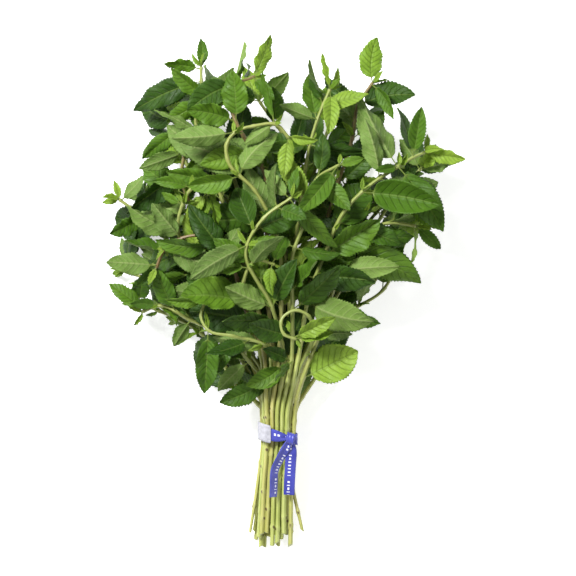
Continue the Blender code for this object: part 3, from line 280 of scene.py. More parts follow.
# %% Sprigs underneath and the outline
UNDERNEATH = {
    "sprig_21": ((1, 0), 44, 128, 24), "sprig_22": ((1, 1), 31, 196, 30), "sprig_23": ((1, 2), 17, 232, 36),
    "sprig_24": ((1, 3), 1, 236, 36), "sprig_25": ((1, 4), -9, 222, 34), "sprig_26": ((1, 5), -21, 206, 32),
    "sprig_27": ((1, 6), -32, 156, 30), "sprig_28": ((0, 0), 36, 150, 12), "sprig_29": ((0, 1), 22, 186, 14),
    "sprig_30": ((0, 2), 7, 200, 14), "sprig_31": ((0, 3), -14, 184, 13), "sprig_32": ((0, 4), -30, 128, 12),
}
STRAY_ENDS = {
    "sprig_13": (-4.5, 10), "sprig_21": (-3, 4), "sprig_19": (9.4, 1), "sprig_28": (-2, 2),
    "sprig_32": (2, 5),
}
OUTLINE = (
    (-113, 141), (-80, 166), (-66, 176), (-42, 172), (-26, 182), (-4, 158), (18, 177), (32, 172),
    (46, 160), (55, 177), (72, 160), (92, 134), (128, 94), (112, 64), (98, 48), (90, 24), (60, 0),
    (58, -18), (52, -42), (26, -62), (6, -70), (-20, -72), (-34, -70), (-66, -55), (-78, -22), (-106, 4),
    (-100, 20), (-128, 24), (-120, 58), (-100, 86), (-96, 124),
)
print("sprigs underneath:", len(UNDERNEATH), "corners of the outline:", len(OUTLINE))

# %% [markdown]
# ## Smooth lines
#
# A stem bends smoothly from joint to joint, so its middle line is a chain of cubics with matching
# slopes, and then gets points at even distances.

# %% Curves
FINE_POINTS = 600  # along a curve before it is divided evenly


def unit(vector):
    """The same direction, one long."""
    vector = np.asarray(vector, float)
    return vector / np.linalg.norm(vector, axis=-1, keepdims=True)


def evenly(curve, count):
    """The curve again, with points at even distances along it."""
    steps = np.linalg.norm(np.diff(curve, axis=0), axis=1)
    along = np.concatenate([[0.0], np.cumsum(steps)])
    wanted = np.linspace(0, along[-1], count)
    return np.column_stack([np.interp(wanted, along, curve[:, axis]) for axis in range(3)])


def smooth_path(points, count):
    """A smooth curve through the points, as count points at even distances.

    Between two points the curve is the cubic (2u^3 - 3u^2 + 1) a + (3u^2 - 2u^3) b +
    (u^3 - 2u^2 + u) w slope a + (u^3 - u^2) w slope b; u runs from 0 to 1, w is their distance.
    """
    points = np.array(points, float)
    span = np.linalg.norm(np.diff(points, axis=0), axis=1)
    knots = np.concatenate([[0.0], np.cumsum(span)])
    slope = np.gradient(points, knots, axis=0)
    fine = np.linspace(0, knots[-1], FINE_POINTS)
    first = np.clip(np.searchsorted(knots, fine, side="right") - 1, 0, len(span) - 1)
    u = ((fine - knots[first]) / span[first])[:, None]
    width = span[first][:, None]
    curve = (2 * u**3 - 3 * u**2 + 1) * points[first] + (3 * u**2 - 2 * u**3) * points[first + 1]
    curve += (u**3 - 2 * u**2 + u) * width * slope[first] + (u**3 - u**2) * width * slope[first + 1]
    return evenly(curve, count)


arc = smooth_path([(0, 0, 0), (10, 5, 0), (20, 0, 0)], 50)
print("a curve through three places:", np.linalg.norm(np.diff(arc, axis=0), axis=1).sum().round(2), "mm long")

# %% [markdown]
# ## From the cut end to the first leaves
#
# The stems lie in rows at the tie, come together there like a waist, and lift above it.

# %% Where each stem runs
def slot_offset(slot):
    """Sideways and upward distance of a slot from the middle of the bundle.

    Sideways = (place - middle of its row + a quarter of a step) x pitch. Rows lean left and right
    in turn, so that each stem lies in the groove between the two under it.
    """
    row, place = slot
    stagger = 0.25 if row % 2 else -0.25
    side = (place - (ROWS[row] - 1) / 2 + stagger) * STEM_PITCH
    return side, (row - (len(ROWS) - 1) / 2) * ROW_PITCH


def tied_points(name, slot, rng):
    """The stem's points from its cut end to the tie."""
    side, up = slot_offset(slot)
    stray_side, stray_along = STRAY_ENDS.get(name, (0, 0))
    end_y = CUT_Y + rng.uniform(-3, 9) + stray_along
    cut = (CUT_X + side * 1.16 + stray_side + rng.uniform(-0.6, 0.6), end_y, CUT_Z + up)
    middle = (TIE_X - 2.0 + side * 1.04 + stray_side * 0.2, TIE_Y - 30, TIE_Z - 4.6 + up)
    tie = (TIE_X + side, TIE_Y, TIE_Z + up)
    above = (TIE_X + side * 1.09, TIE_Y + 16, TIE_Z + 3.5 + up * 1.15)
    return [cut, middle, tie, above]


def fanned_joints(name, slot, rng):
    """Joints of a sprig underneath: it fans out to its own side and sinks towards the floor.

    At each share of its reach: angle = turn x (0.3 + 0.7 share), height = straight line from the
    tie to the tip + 6 mm x sin(pi x share).
    """
    _, turn, reach, height = UNDERNEATH[name]
    side, up = slot_offset(slot)
    joints = []
    count = max(3, round(reach / 42))
    for index in range(count):
        share = (index + 1) / count
        away = reach * (0.3 + 0.7 * index / (count - 1))
        angle = math.radians(turn * (0.3 + 0.7 * share) + rng.uniform(-4, 4))
        x = TIE_X + side * (1 + 0.5 * share) - math.sin(angle) * away
        y = TIE_Y + math.cos(angle) * away
        z = TIE_Z + up + (height - TIE_Z - up) * share + 6 * math.sin(math.pi * share)
        joints.append(joint(x, y, max(z, 4), AUTO))
    return joints


def stem_radius(share):
    """Centre to corner of the square stem = cut end + (tip - cut end) x share to the power 1.6."""
    return STEM_RADIUS + (TIP_RADIUS - STEM_RADIUS) * share**1.6


radii = [round(float(stem_radius(share)), 2) for share in (0, 0.5, 1)]
print("radius at cut end, middle and tip:", radii, "mm")

# %% [markdown]
# ## Stems that do not touch
#
# Thirty-two curves drawn one by one cross each other. They are pushed apart, a little in each
# round, until each clears its neighbours, as the real ones do when they are pressed together.

# %% Push the stems apart
PUSH_SHARE = 0.3
SEARCH_EVERY = 8
SEARCH_REACH = 9.5  # between the middles of two pieces that are compared
UNSMOOTHED_ROUNDS = 12


def nearest_on_segments(a, b, c, d):
    """Where along a-b and along c-d, as shares, the two segments are nearest to each other.

    It solves the two lines' nearest points from the dot products of their directions and of the
    gap between their starts, and keeps each share from 0 to 1.
    """
    first, second, gap = b - a, d - c, a - c
    ff = (first**2).sum(1)
    fs = (first * second).sum(1)
    ss = (second**2).sum(1)
    fg = (first * gap).sum(1)
    sg = (second * gap).sum(1)
    spread = np.maximum(ff * ss - fs**2, 1e-9)
    s = np.clip((fs * sg - ss * fg) / spread, 0, 1)
    t = np.clip((fs * s + sg) / ss, 0, 1)
    s = np.clip((fs * t - fg) / ff, 0, 1)
    return s, t


def push_apart(paths, rounds=90):
    """Moves stems that touch away from each other and off the floor, and keeps them smooth.

    In each round every two stems nearer than the sum of their radii + STEM_GAP are pushed apart
    by PUSH_SHARE of what is missing, the moves are averaged along each stem, and no stem may
    sink into the floor. The pairs that could touch are listed again every SEARCH_EVERY rounds.
    """
    home = np.array(paths)
    stems, count, _ = home.shape
    moved = np.zeros_like(home)
    radius = np.tile(stem_radius(np.linspace(0, 1, count)), (stems, 1))
    owner = np.repeat(np.arange(stems), count - 1)
    start = (np.arange(stems)[:, None] * count + np.arange(count - 1)).ravel()
    flat_radius = radius.ravel()
    for turn in range(rounds):
        points = (home + moved).reshape(-1, 3)
        if turn % SEARCH_EVERY == 0:
            middle = (points[start] + points[start + 1]) / 2
            square = (middle**2).sum(1)
            apart = square[:, None] + square - 2 * middle @ middle.T
            one, other = np.nonzero((apart < SEARCH_REACH**2) & (owner[:, None] < owner))
        i, j = start[one], start[other]
        s, t = nearest_on_segments(points[i], points[i + 1], points[j], points[j + 1])
        near = points[i] * (1 - s)[:, None] + points[i + 1] * s[:, None]
        far = points[j] * (1 - t)[:, None] + points[j + 1] * t[:, None]
        away = near - far
        distance = np.maximum(np.linalg.norm(away, axis=1), 1e-6)
        need = flat_radius[i] + flat_radius[j] + STEM_GAP
        short = np.maximum(need - distance, 0)
        push = away / distance[:, None] * (short * PUSH_SHARE)[:, None]
        total = np.zeros_like(points)
        weight = np.full(len(points), 1e-6)
        for ends, share, sign in ((i, 1 - s, 1), (i + 1, s, 1), (j, 1 - t, -1), (j + 1, t, -1)):
            np.add.at(total, ends, push * (share * sign)[:, None])
            np.add.at(weight, ends, share * (short > 0))
        moved += (total / np.maximum(weight, 1)[:, None] ** 0.5).reshape(home.shape)
        if turn < rounds - UNSMOOTHED_ROUNDS:
            inner = (moved[:, :-2] + moved[:, 2:]) / 2
            moved[:, 1:-1] = moved[:, 1:-1] * 0.7 + inner * 0.3
            moved *= 0.997
        lowest = radius + 0.3 + FLOOR
        moved[..., 2] = np.maximum(moved[..., 2], lowest - home[..., 2])
    return home + moved


crossing = [np.array([place], float) for place in ((-1, 0, 0), (1, 0, 0), (0, -1, 1), (0, 3, 1))]
print("nearest shares of two crossing pieces:", [share.tolist() for share in nearest_on_segments(*crossing)])

# %% [markdown]
# Each stem also carries two directions across it from end to end without twisting, so that the
# pairs of leaves keep their turns round it.

# %% Lay the stems
def carried_frames(path, roll):
    """Two directions across the stem at each point, carried along it without twisting."""
    forward = unit(np.gradient(path, axis=0))
    across = np.cross(forward[0], (math.sin(roll), 0.0, math.cos(roll)))
    first, second = [], []
    for direction in forward:
        across = unit(across - direction * across.dot(direction))
        first.append(across)
        second.append(np.cross(direction, across))
    return forward, np.array(first), np.array(second)


def lay_stems():
    """Every sprig's middle line, frames and joints, with no stem touching another."""
    sprigs = []
    slots = {name: laid[0] for name, laid in LAID.items()}
    slots.update({name: row[0] for name, row in UNDERNEATH.items()})
    for number, (name, slot) in enumerate(sorted(slots.items())):
        rng = np.random.default_rng(100 + number)
        joints = LAID[name][1] if name in LAID else fanned_joints(name, slot, rng)
        points = tied_points(name, slot, rng) + [place for place, _ in joints]
        path = smooth_path(points, SAMPLES)
        sprigs.append({"name": name, "joints": joints, "path": path, "rng": rng})
    paths = push_apart([sprig["path"] for sprig in sprigs])
    for sprig, path in zip(sprigs, paths):
        steps = np.linalg.norm(np.diff(path, axis=0), axis=1)
        sprig["path"] = path
        sprig["along"] = np.concatenate([[0.0], np.cumsum(steps)])
        sprig["frames"] = carried_frames(path, sprig["rng"].uniform(-0.3, 0.3))
    return sprigs


def stations(sprig, distances):
    """Middle, forward and the two directions across the stem, at many distances from its cut end."""
    rows = [sprig["path"], *sprig["frames"]]
    found = [
        np.column_stack([np.interp(distances, sprig["along"], row[:, axis]) for axis in range(3)])
        for row in rows
    ]
    return found[0], unit(found[1]), unit(found[2]), unit(found[3])


def station(sprig, distance):
    """The same at one distance, with the radius of the stem there."""
    found = [row[0] for row in stations(sprig, [distance])]
    return *found, stem_radius(distance / sprig["along"][-1])


def nearest_distance(sprig, place):
    """The distance from the cut end at which the stem passes nearest to a place."""
    gaps = np.linalg.norm(sprig["path"] - np.array(place), axis=1)
    gaps[:TIED_SAMPLES // 2] += 1000
    return float(sprig["along"][int(gaps.argmin())])


sprigs = lay_stems()
lengths = [sprig["along"][-1] for sprig in sprigs]
print("stems:", len(sprigs), "from", round(min(lengths)), "to", round(max(lengths)), "mm long")

# %% [markdown]
# ## How a leaf bends
#
# A leaf starts from its base in one direction, curls up or down and sways sideways as it goes,
# twists about its length, and is folded along the midrib. One record of those numbers gives any
# point of its surface.

# %% The middle surface of a leaf
def outline_width(t):
    """Half the width of a blade at a share t along it = t^0.6 (1 - t)^0.8, over its largest value."""
    t = np.clip(t, 0, 1)
    shape = t**0.6 * (1 - t) ** 0.8
    return shape / (0.429**0.6 * 0.571**0.8)


def off_floor(z, margin):
    """Heights eased to stay above the floor: margin + (over + sqrt(over squared + 1)) / 2."""
    over = z - FLOOR - margin
    return FLOOR + margin + (over + np.sqrt(over**2 + 1.0)) / 2


def leaf_rows(one, t):
    """Middle, side and up directions, and half width, of a leaf at shares t along it.

    Middle = base + length x (t x forward + t squared / 2 x curl), where curl = bend x up + sway x
    side; the side direction then turns about the leaf's length by twist x t.
    """
    t = np.asarray(t, float)[:, None]
    curl = one["bend"] * one["up"] + one["sway"] * one["side"]
    middle = one["base"] + one["length"] * (t * one["forward"] + t**2 / 2 * curl)
    forward = unit(one["forward"] + t * curl)
    side = unit(one["side"] - forward * (forward * one["side"]).sum(1, keepdims=True))
    up = np.cross(side, forward)
    turn = one["twist"] * t
    side, up = side * np.cos(turn) + up * np.sin(turn), up * np.cos(turn) - side * np.sin(turn)
    blade = (t[:, 0] - STALK_SHARE) / (1 - STALK_SHARE)
    half = np.maximum(one["half_width"] * outline_width(blade), TIP_HALF)
    half = np.where(t[:, 0] < STALK_SHARE + 0.02, STALK_HALF, half)
    return middle, side, up, half


def leaf_points(one, t, across, lift):
    """Points of a leaf: shares t along it, shares across (-1 to 1), and distances lift above its middle."""
    middle, side, up, half = leaf_rows(one, t)
    across = np.asarray(across, float)
    fold = one["fold"]
    out = (half[:, None] * across)[..., None] * (math.cos(fold) * side[:, None, :])
    rise = (half[:, None] * np.abs(across))[..., None] * (math.sin(fold) * up[:, None, :])
    points = middle[:, None, :] + out + rise
    points[..., 2] = off_floor(points[..., 2], FLOOR_MARGIN)
    return points + np.asarray(lift, float)[..., None] * up[:, None, :]


def tube_faces(rings, size):
    """Faces of a closed tube made of rings of the same size."""
    faces = []
    for ring in range(rings - 1):
        for index in range(size):
            here, there = ring * size, (ring + 1) * size
            follow = (index + 1) % size
            faces.append((here + index, here + follow, there + follow, there + index))
    faces.append(tuple(range(size)))
    faces.append(tuple(range((rings - 1) * size, rings * size)))
    return faces


def leaf_slab(one, t, grow):
    """A closed slab round a leaf for seeing what it would touch, thicker and wider by grow."""
    _, _, up, half = leaf_rows(one, t)
    wide = 1 + grow / np.maximum(half, 1.0)
    flat = leaf_points(one, t, [-1, 0, 1], np.zeros((len(t), 3)))
    flat[:, 0] = flat[:, 1] + (flat[:, 0] - flat[:, 1]) * wide[:, None]
    flat[:, 2] = flat[:, 1] + (flat[:, 2] - flat[:, 1]) * wide[:, None]
    thick = np.array([0.3, LEAF_THICK, 0.3]) + grow
    top = flat + thick[None, :, None] * up[:, None, :]
    bottom = flat - thick[None, :, None] * up[:, None, :]
    ring = np.concatenate([top, bottom[:, ::-1]], axis=1)
    return ring.reshape(-1, 3), tube_faces(len(t), 6)


widest = np.linspace(0, 1, 101)[outline_width(np.linspace(0, 1, 101)).argmax()]
print("a blade is widest", widest.round(2), "of the way along it")

# %% [markdown]
# ## Leaves that find room
#
# A new leaf may touch nothing that is already there. Everything laid down is kept as closed
# shapes with a search tree each, and a leaf is tried in different ways until it fits.

# %% What a leaf would touch
def inside_outline(x, y):
    """Whether a place seen from above is inside the outline: a line from it crosses an odd number
    of the outline's sides."""
    inside = False
    for (x1, y1), (x2, y2) in zip(OUTLINE, OUTLINE[1:] + OUTLINE[:1]):
        if (y1 > y) != (y2 > y) and x < x1 + (x2 - x1) * (y - y1) / (y2 - y1):
            inside = not inside
    return inside


class Placed:
    """Everything already laid down, for telling what a new leaf would touch."""

    def __init__(self):
        """Nothing laid down yet."""
        self.low, self.high, self.trees, self.owners = [], [], [], []

    def add(self, points, faces, owner):
        """Lays down one closed shape that belongs to the owner."""
        self.low.append(points.min(0))
        self.high.append(points.max(0))
        self.trees.append(BVHTree.FromPolygons(points.tolist(), faces))
        self.owners.append(owner)

    def touches(self, points, faces, but=None):
        """Whether a shape would touch anything that belongs to another owner than but."""
        low, high = points.min(0), points.max(0)
        near = (np.array(self.low) < high).all(1) & (np.array(self.high) > low).all(1)
        tree = None
        for index in np.nonzero(near)[0]:
            if self.owners[index] == but:
                continue
            if tree is None:
                tree = BVHTree.FromPolygons(points.tolist(), faces)
            if tree.overlap(self.trees[index]):
                return True
        return False


print("the tie is inside the foliage's outline:", inside_outline(TIE_X, TIE_Y))

# %% [markdown]
# A listed leaf strays little from its heading. Each further attempt strays more.

# %% Try a leaf
def try_leaf(sprig, spec, distance, taken, rng, attempt):
    """One way a leaf could grow from the joint; None if that way it would cross its own stem.

    Heading, pitch and roll stray further from what was asked with each attempt, and the last
    attempts also shrink the leaf. It grows from the free corner of the stem that faces its way.
    """
    middle, forward, first, second, radius = station(sprig, distance)
    loose = attempt / ATTEMPTS
    heading = math.radians(spec["heading"] + rng.normal() * spec["stray"] * (0.2 + loose))
    pitch = math.radians(np.clip(spec["pitch"] + rng.normal() * (11 + 29 * loose), -50, 34))
    level = math.cos(pitch)
    direction = np.array([math.cos(heading) * level, math.sin(heading) * level, math.sin(pitch)])
    normals = [
        math.cos(math.radians(45 + 90 * k)) * first + math.sin(math.radians(45 + 90 * k)) * second
        for k in range(4)
    ]
    free = [k for k in range(4) if (distance, k) not in taken]
    if not free:
        return None
    best = max(free, key=lambda k: normals[k].dot(direction))
    outward = normals[best].dot(direction)
    at_tip = distance == sprig["along"][-1]
    if at_tip and (distance, "cap") not in taken and forward.dot(direction) > max(outward, 0.6):
        best, base = "cap", middle
    elif outward < 0.3:
        return None
    else:
        base = middle + normals[best] * radius * 0.7 - forward * (NODE_HALF if at_tip else 0)
    flat = unit(np.cross(direction, (0.0, 0.0, 1.0)))
    roll = math.radians(rng.normal() * (24 + 22 * loose)) + (math.pi if spec["look"] == UNDER else 0)
    rise = np.cross(flat, direction)
    side = flat * math.cos(roll) + rise * math.sin(roll)
    shrink = 1 - 0.4 * max(0, loose - 0.6)
    length = spec["length"] * shrink
    droop = -1 if spec["look"] == UNDER else 1
    return {
        "sprig": sprig["name"], "base": base, "forward": direction, "side": side,
        "up": np.cross(side, direction), "length": length, "look": spec["look"],
        "half_width": length * WIDTH_SHARE * spec["wide"], "from": (distance, best),
        "bend": droop * -0.3 + rng.normal() * (0.38 + 0.25 * loose), "sway": rng.normal() * 0.27,
        "twist": rng.normal() * 0.5, "fold": math.radians(rng.uniform(2, 36)),
        "seed": int(rng.integers(1e6)),
    }


def grow_leaf(sprig, spec, distance, taken, placed, rng):
    """Places a leaf where it touches nothing, or returns None when there is no room."""
    for attempt in range(ATTEMPTS):
        one = try_leaf(sprig, spec, distance, taken, rng, attempt)
        if one is None:
            continue
        halfway, tip = leaf_rows(one, [0.5, 1.0])[0]
        inside = inside_outline(tip[0], tip[1]) and inside_outline(halfway[0], halfway[1])
        if spec["auto"] and (not inside or tip[2] < -6):
            continue
        blade = leaf_slab(one, BLADE_STEPS, CLEARANCE)
        if placed.touches(*blade):
            continue
        stalk = leaf_slab(one, STALK_STEPS, 0.25)
        if placed.touches(*stalk, but=sprig["name"]):
            continue
        placed.add(*leaf_slab(one, ALL_STEPS, 0.0), sprig["name"] + "_leaf")
        return one
    return None


print("ways tried for each leaf: up to", ATTEMPTS)

# %% [markdown]
# Joints are added where a stem would be bare for long. All listed leaves are placed first,
# then the pairs that find their own way, from the highest sprigs down.

# %% Lay the leaves
def joints_between(sprig):
    """Further joints, so that no length of stem above the tie is bare for long."""
    first = nearest_distance(sprig, sprig["path"][TIED_SAMPLES]) + 4
    found = []
    marks = sorted({first, *sprig["nodes"]})
    for low, high in zip(marks, marks[1:]):
        pieces = int((high - low) // MOST_BARE) + 1
        found += [low + (high - low) * piece / pieces for piece in range(1, pieces)]
    low = sprig["nodes"][0] - first > 14 and sprig["path"][TIED_SAMPLES][2] < 30
    return [first] * int(low) + found


def auto_pair(sprig, distance, number, rng):
    """Specs of the pair at a joint that finds its own way: one to each side of the stem."""
    _, forward, _, _, _ = station(sprig, distance)
    share = distance / sprig["along"][-1]
    ahead = math.degrees(math.atan2(forward[1], forward[0]))
    size = (49 - 46 * max(0, share - 0.6)) * rng.uniform(0.8, 1.15)
    looks = rng.choice([DARK, MID, UNDER, YOUNG], 2, p=[0.42, 0.3, 0.22, 0.06])
    specs = []
    for sign, look in zip((1, -1), looks):
        turn = rng.uniform(38, 72) if number % 2 else rng.uniform(15, 50)
        one = leaf(ahead + sign * turn, size * rng.uniform(0.9, 1.1), str(look), rng.uniform(0.95, 1.35))
        specs.append(dict(one, auto=True, stray=28, pitch=rng.uniform(-12, 18)))
    return specs


def lay_leaves(sprigs):
    """Every leaf of every sprig: first those listed, then those that find their own way."""
    placed = Placed()
    for sprig in sprigs:
        path, (_, first, second) = sprig["path"], sprig["frames"]
        radius = stem_radius(sprig["along"] / sprig["along"][-1])[:, None]
        corners = np.radians((0, 90, 180, 270))
        rings = [path + radius * (math.cos(a) * first + math.sin(a) * second) for a in corners]
        points = np.stack(rings, axis=1).reshape(-1, 3)
        placed.add(points, tube_faces(len(path), 4), sprig["name"])
        sprig["leaves"], sprig["taken"] = [], set()
        last = sprig["along"][-1]
        sprig["nodes"] = [min(nearest_distance(sprig, place), last) for place, _ in sprig["joints"]]
        sprig["nodes"][-1] = last
        by_hand = [specs for _, specs in sprig["joints"]]
        sprig["grown"] = list(zip(sprig["nodes"], by_hand))
        sprig["grown"] += [(distance, [AUTO]) for distance in joints_between(sprig)]
    wanted = []
    for order, sprig in enumerate(sprigs):
        for number, (distance, specs) in enumerate(sprig["grown"]):
            rng = np.random.default_rng(7000 + order * 50 + number)
            for spec in specs:
                if spec is AUTO:
                    pair = auto_pair(sprig, distance, number, rng)
                    if distance == sprig["nodes"][-1]:
                        ahead = (pair[0]["heading"] + pair[1]["heading"]) / 2
                        pair.append(dict(pair[0], heading=ahead, look=YOUNG))
                    wanted += [(1, -sprig["path"][-1][2], sprig, one, distance, rng) for one in pair]
                else:
                    one = dict(spec, auto=False, stray=7, pitch=4)
                    wanted.append((0, -sprig["path"][-1][2], sprig, one, distance, rng))
    wanted.sort(key=lambda want: want[:2])
    dropped = 0
    for _, _, sprig, spec, distance, rng in wanted:
        one = grow_leaf(sprig, spec, distance, sprig["taken"], placed, rng)
        if one is None:
            dropped += 1
            continue
        sprig["taken"].add(one["from"])
        sprig["leaves"].append(one)
    print("leaves:", sum(len(sprig["leaves"]) for sprig in sprigs), "without room:", dropped)
    return placed


placed = lay_leaves(sprigs)

# %% [markdown]
# ## Where the ribbon runs
#
# A ribbon pulled tight follows the outermost stems. Its tails lie over whatever is under them.

# %% The ribbon's lines
def snug_outline(sprigs, gap, count):
    """Places round the tied stems, as a ribbon pulled tight passes, with outward directions.

    For each of 90 directions the stem that reaches furthest is touched at its radius + gap; the
    line through those touching places is then divided evenly.
    """
    discs = []
    for sprig in sprigs:
        radius = stem_radius(sprig["along"] / sprig["along"][-1])
        near = np.abs(sprig["path"][:, 1] - TIE_Y - 1.8) < BAND_WIDTH / 2 + 5
        discs.append(np.column_stack([sprig["path"][near][:, (0, 2)], radius[near]]))
    discs = np.concatenate(discs)
    turns = np.radians(np.arange(0, 360, 4))
    hull = []
    for turn in turns:
        outward = np.array([math.cos(turn), math.sin(turn)])
        reach = discs[:, :2] @ outward + discs[:, 2]
        best = discs[int(reach.argmax())]
        hull.append(best[:2] + outward * (best[2] + gap))
    hull.append(hull[0])
    flat = evenly(np.column_stack([hull, np.zeros(len(hull))]), count + 1)[:, :2]
    along = np.roll(flat[:-1], -1, axis=0) - np.roll(flat[:-1], 1, axis=0)
    outward = unit(np.column_stack([along[:, 1], -along[:, 0]]))
    return flat[:-1], outward


def band_middle(x):
    """Where along the stems the ribbon's middle is = TIE_Y + tilt x (x - TIE_X) + climb x its square
    on the left, so it climbs towards the tips there."""
    return TIE_Y + BAND_TILT * (x - TIE_X) + BAND_CLIMB * np.minimum(x - TIE_X, 0) ** 2


def tail_path(sprigs, places):
    """A ribbon's tail over the stems: through the places, each raised above the stems beneath it."""
    points = []
    for x, y, lift in places:
        highest = 0.0
        for sprig in sprigs:
            near = np.abs(sprig["path"][:, :2] - (x, y)).max(1) < 8
            if near.any():
                highest = max(highest, sprig["path"][near, 2].max() + STEM_RADIUS)
        points.append((x, y, highest + lift))
    return smooth_path(points, TAIL_SECTIONS)


def ribbon_lines(sprigs):
    """The band's outline, the knot's middle, and each tail's path with its turn about its length."""
    outline, outward = snug_outline(sprigs, RIBBON_GAP, BAND_SECTIONS)
    top = outline[np.abs(outline[:, 0] - KNOT_X) < 3, 1].max()
    knot = np.array([KNOT_X, KNOT_Y, top + KNOT_SIZE[2] * 0.42])
    tails = []
    for places, turns in ((TAIL_ONE, TAIL_ONE_TURN), (TAIL_TWO, TAIL_TWO_TURN)):
        path = tail_path(sprigs, places)
        path[0] = knot
        path[1] = (path[0] + path[2]) / 2
        tails.append((path, np.radians(np.interp(np.linspace(0, 1, len(path)), (0, 0.35, 1), turns))))
    return outline, outward, knot, tails


outline, outward, knot, tails = ribbon_lines(sprigs)
print("the knot is at", knot.round(1), "mm")

# %% [markdown]
# ## Onto the solids
#
# The layout has its own origin. The shift to the solids is the median, over all sprigs, of the
# difference between the low corner of the solid's box and that of the layout.

# %% Find the shift
steps = np.array(SOLID_STEPS)
flat = np.zeros((len(steps), 2))
own_low = []
for sprig in sprigs:
    edges = [leaf_points(one, steps, [-1, 1], flat).reshape(-1, 3) for one in sprig["leaves"]]
    own_low.append(np.concatenate([sprig["path"], *edges]).min(0))
box_low = np.array([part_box(sprig["name"])[0] for sprig in sprigs]) / MM
SHIFT = np.median(box_low - own_low, axis=0)
off = np.abs(box_low - own_low - SHIFT).max()
print("from the layout to the solids:", SHIFT.round(2), "mm, largest difference", off.round(2), "mm")

# %% [markdown]
# ## From grids of points to pieces
#
# Every piece here is a closed tube: rings of the same number of points, one after the other,
# with both ends filled. A leaf is such a tube too, pressed flat. Building all of them in the
# same way keeps each surface closed and its faces outward.

# %% Tubes into meshes
def tube_quads(rings, size, first):
    """Corner numbers of a tube's side faces.

    Face (i, j) joins point j and its neighbour on ring i to the same two on ring i + 1. On the
    second half of the ring the corners are counted from one further on, so that the two skins
    of a flat tube are divided along the same diagonals and never cross.
    """
    ring = first + size * np.arange(rings - 1)[:, None]
    j = np.arange(size)
    k = (j + 1) % size
    quads = np.stack([ring + j, ring + k, ring + size + k, ring + size + j], axis=-1)
    quads[:, size // 2:] = np.roll(quads[:, size // 2:], -1, axis=-1)
    return quads.reshape(-1, 4)


class Tubes:
    """Collects closed tubes, with values for the shaders, and makes one object of them."""

    def __init__(self):
        """No tubes yet."""
        self.points, self.quads, self.ends, self.side = [], [], [], []
        self.values = {}
        self.total = 0

    def add(self, rings, side=None, **values):
        """Adds rings of shape (count, size, 3) in mm; side gives each column's material number."""
        count, size, _ = rings.shape
        self.points.append(rings.reshape(-1, 3))
        self.quads.append(tube_quads(count, size, self.total))
        ring = self.total + np.arange(size)
        self.ends.append((ring[::-1], ring + size * (count - 1)))
        self.side.append(np.tile(np.zeros(size, int) if side is None else side, count - 1))
        for name, value in values.items():
            flat = np.broadcast_to(value, (count, size)).astype(float).reshape(-1)
            self.values.setdefault(name, []).append(flat)
        self.total += count * size

    def build(self, name, materials):
        """One mesh object of all the tubes, moved onto the solids."""
        points = (np.concatenate(self.points) + SHIFT) * MM
        points[:, 2] = np.maximum(points[:, 2], 0)  # stems that lie on the table press flat on it
        quads = np.concatenate(self.quads)
        ends = [end for pair in self.ends for end in pair]
        corners = np.concatenate([quads.reshape(-1), *ends])
        sizes = np.concatenate([np.full(len(quads), 4), [len(end) for end in ends]])
        mesh = bpy.data.meshes.new(name)
        mesh.vertices.add(len(points))
        mesh.vertices.foreach_set("co", points.astype(np.float32).ravel())
        mesh.loops.add(len(corners))
        mesh.loops.foreach_set("vertex_index", corners.astype(np.int32))
        mesh.polygons.add(len(sizes))
        starts = np.concatenate([[0], np.cumsum(sizes)[:-1]])
        mesh.polygons.foreach_set("loop_start", starts.astype(np.int32))
        number = np.concatenate([np.concatenate(self.side), np.zeros(len(ends), int)])
        mesh.polygons.foreach_set("material_index", number.astype(np.int32))
        mesh.polygons.foreach_set("use_smooth", np.full(len(sizes), True))
        for name_of, parts in self.values.items():
            if name_of in ("u", "v"):
                continue
            layer = mesh.attributes.new(name_of, "FLOAT", "POINT")
            layer.data.foreach_set("value", np.concatenate(parts).astype(np.float32))
        layer = mesh.uv_layers.new(name="UVMap")
        flat = np.column_stack([np.concatenate(self.values["u"]), np.concatenate(self.values["v"])])
        layer.data.foreach_set("uv", flat[corners].astype(np.float32).ravel())
        mesh.update()
        mesh.validate()
        for material in materials:
            mesh.materials.append(material)
        built = bpy.data.objects.new(name, mesh)
        bpy.context.scene.collection.objects.link(built)
        return built


print("a tube of 3 rings of 4 points has", len(tube_quads(3, 4, 0)), "side faces and 2 ends")

# %% [markdown]
# ## A mint leaf
#
# A mint blade is a thin sheet with a toothed margin. The midrib lies in a groove on the upper
# side and stands out below; six or seven veins a side run from it towards the teeth, and the
# green between them puffs up like a quilt. The stalk is a short round stem. All of that is
# shape: the half width is a smooth outline times a saw wave, the height above the leaf's
# middle surface is a fold, a ripple and the quilt, and the thickness tapers to the edge.

# %% The surface of one leaf
ACROSS = np.array([-1, -0.88, -0.68, -0.46, -0.22, 0, 0.22, 0.46, 0.68, 0.88, 1])
LEAF_SIDES = np.repeat((0, 1), len(ACROSS) - 1)  # upper side, then underside
VEINS = 8.0  # along a blade, on each side of the midrib
VEIN_SWEEP = 0.24  # how far a vein runs on towards the tip before it reaches the edge
TOOTH_PITCH = 2.1
TONES = {DARK: 0.12, MID: 0.42, UNDER: 0.34, YOUNG: 0.92}


def leaf_stations(teeth):
    """Shares along a leaf: a few on the stalk, then the foot and the point of each tooth."""
    stalk = np.array([0, 0.03, 0.065, 0.1])
    foot = np.arange(teeth) / teeth
    point = foot + 0.74 / teeth
    blade = np.sort(np.concatenate([foot, point, [1.0]]))
    return np.concatenate([stalk, STALK_SHARE + (1 - STALK_SHARE) * blade]), blade


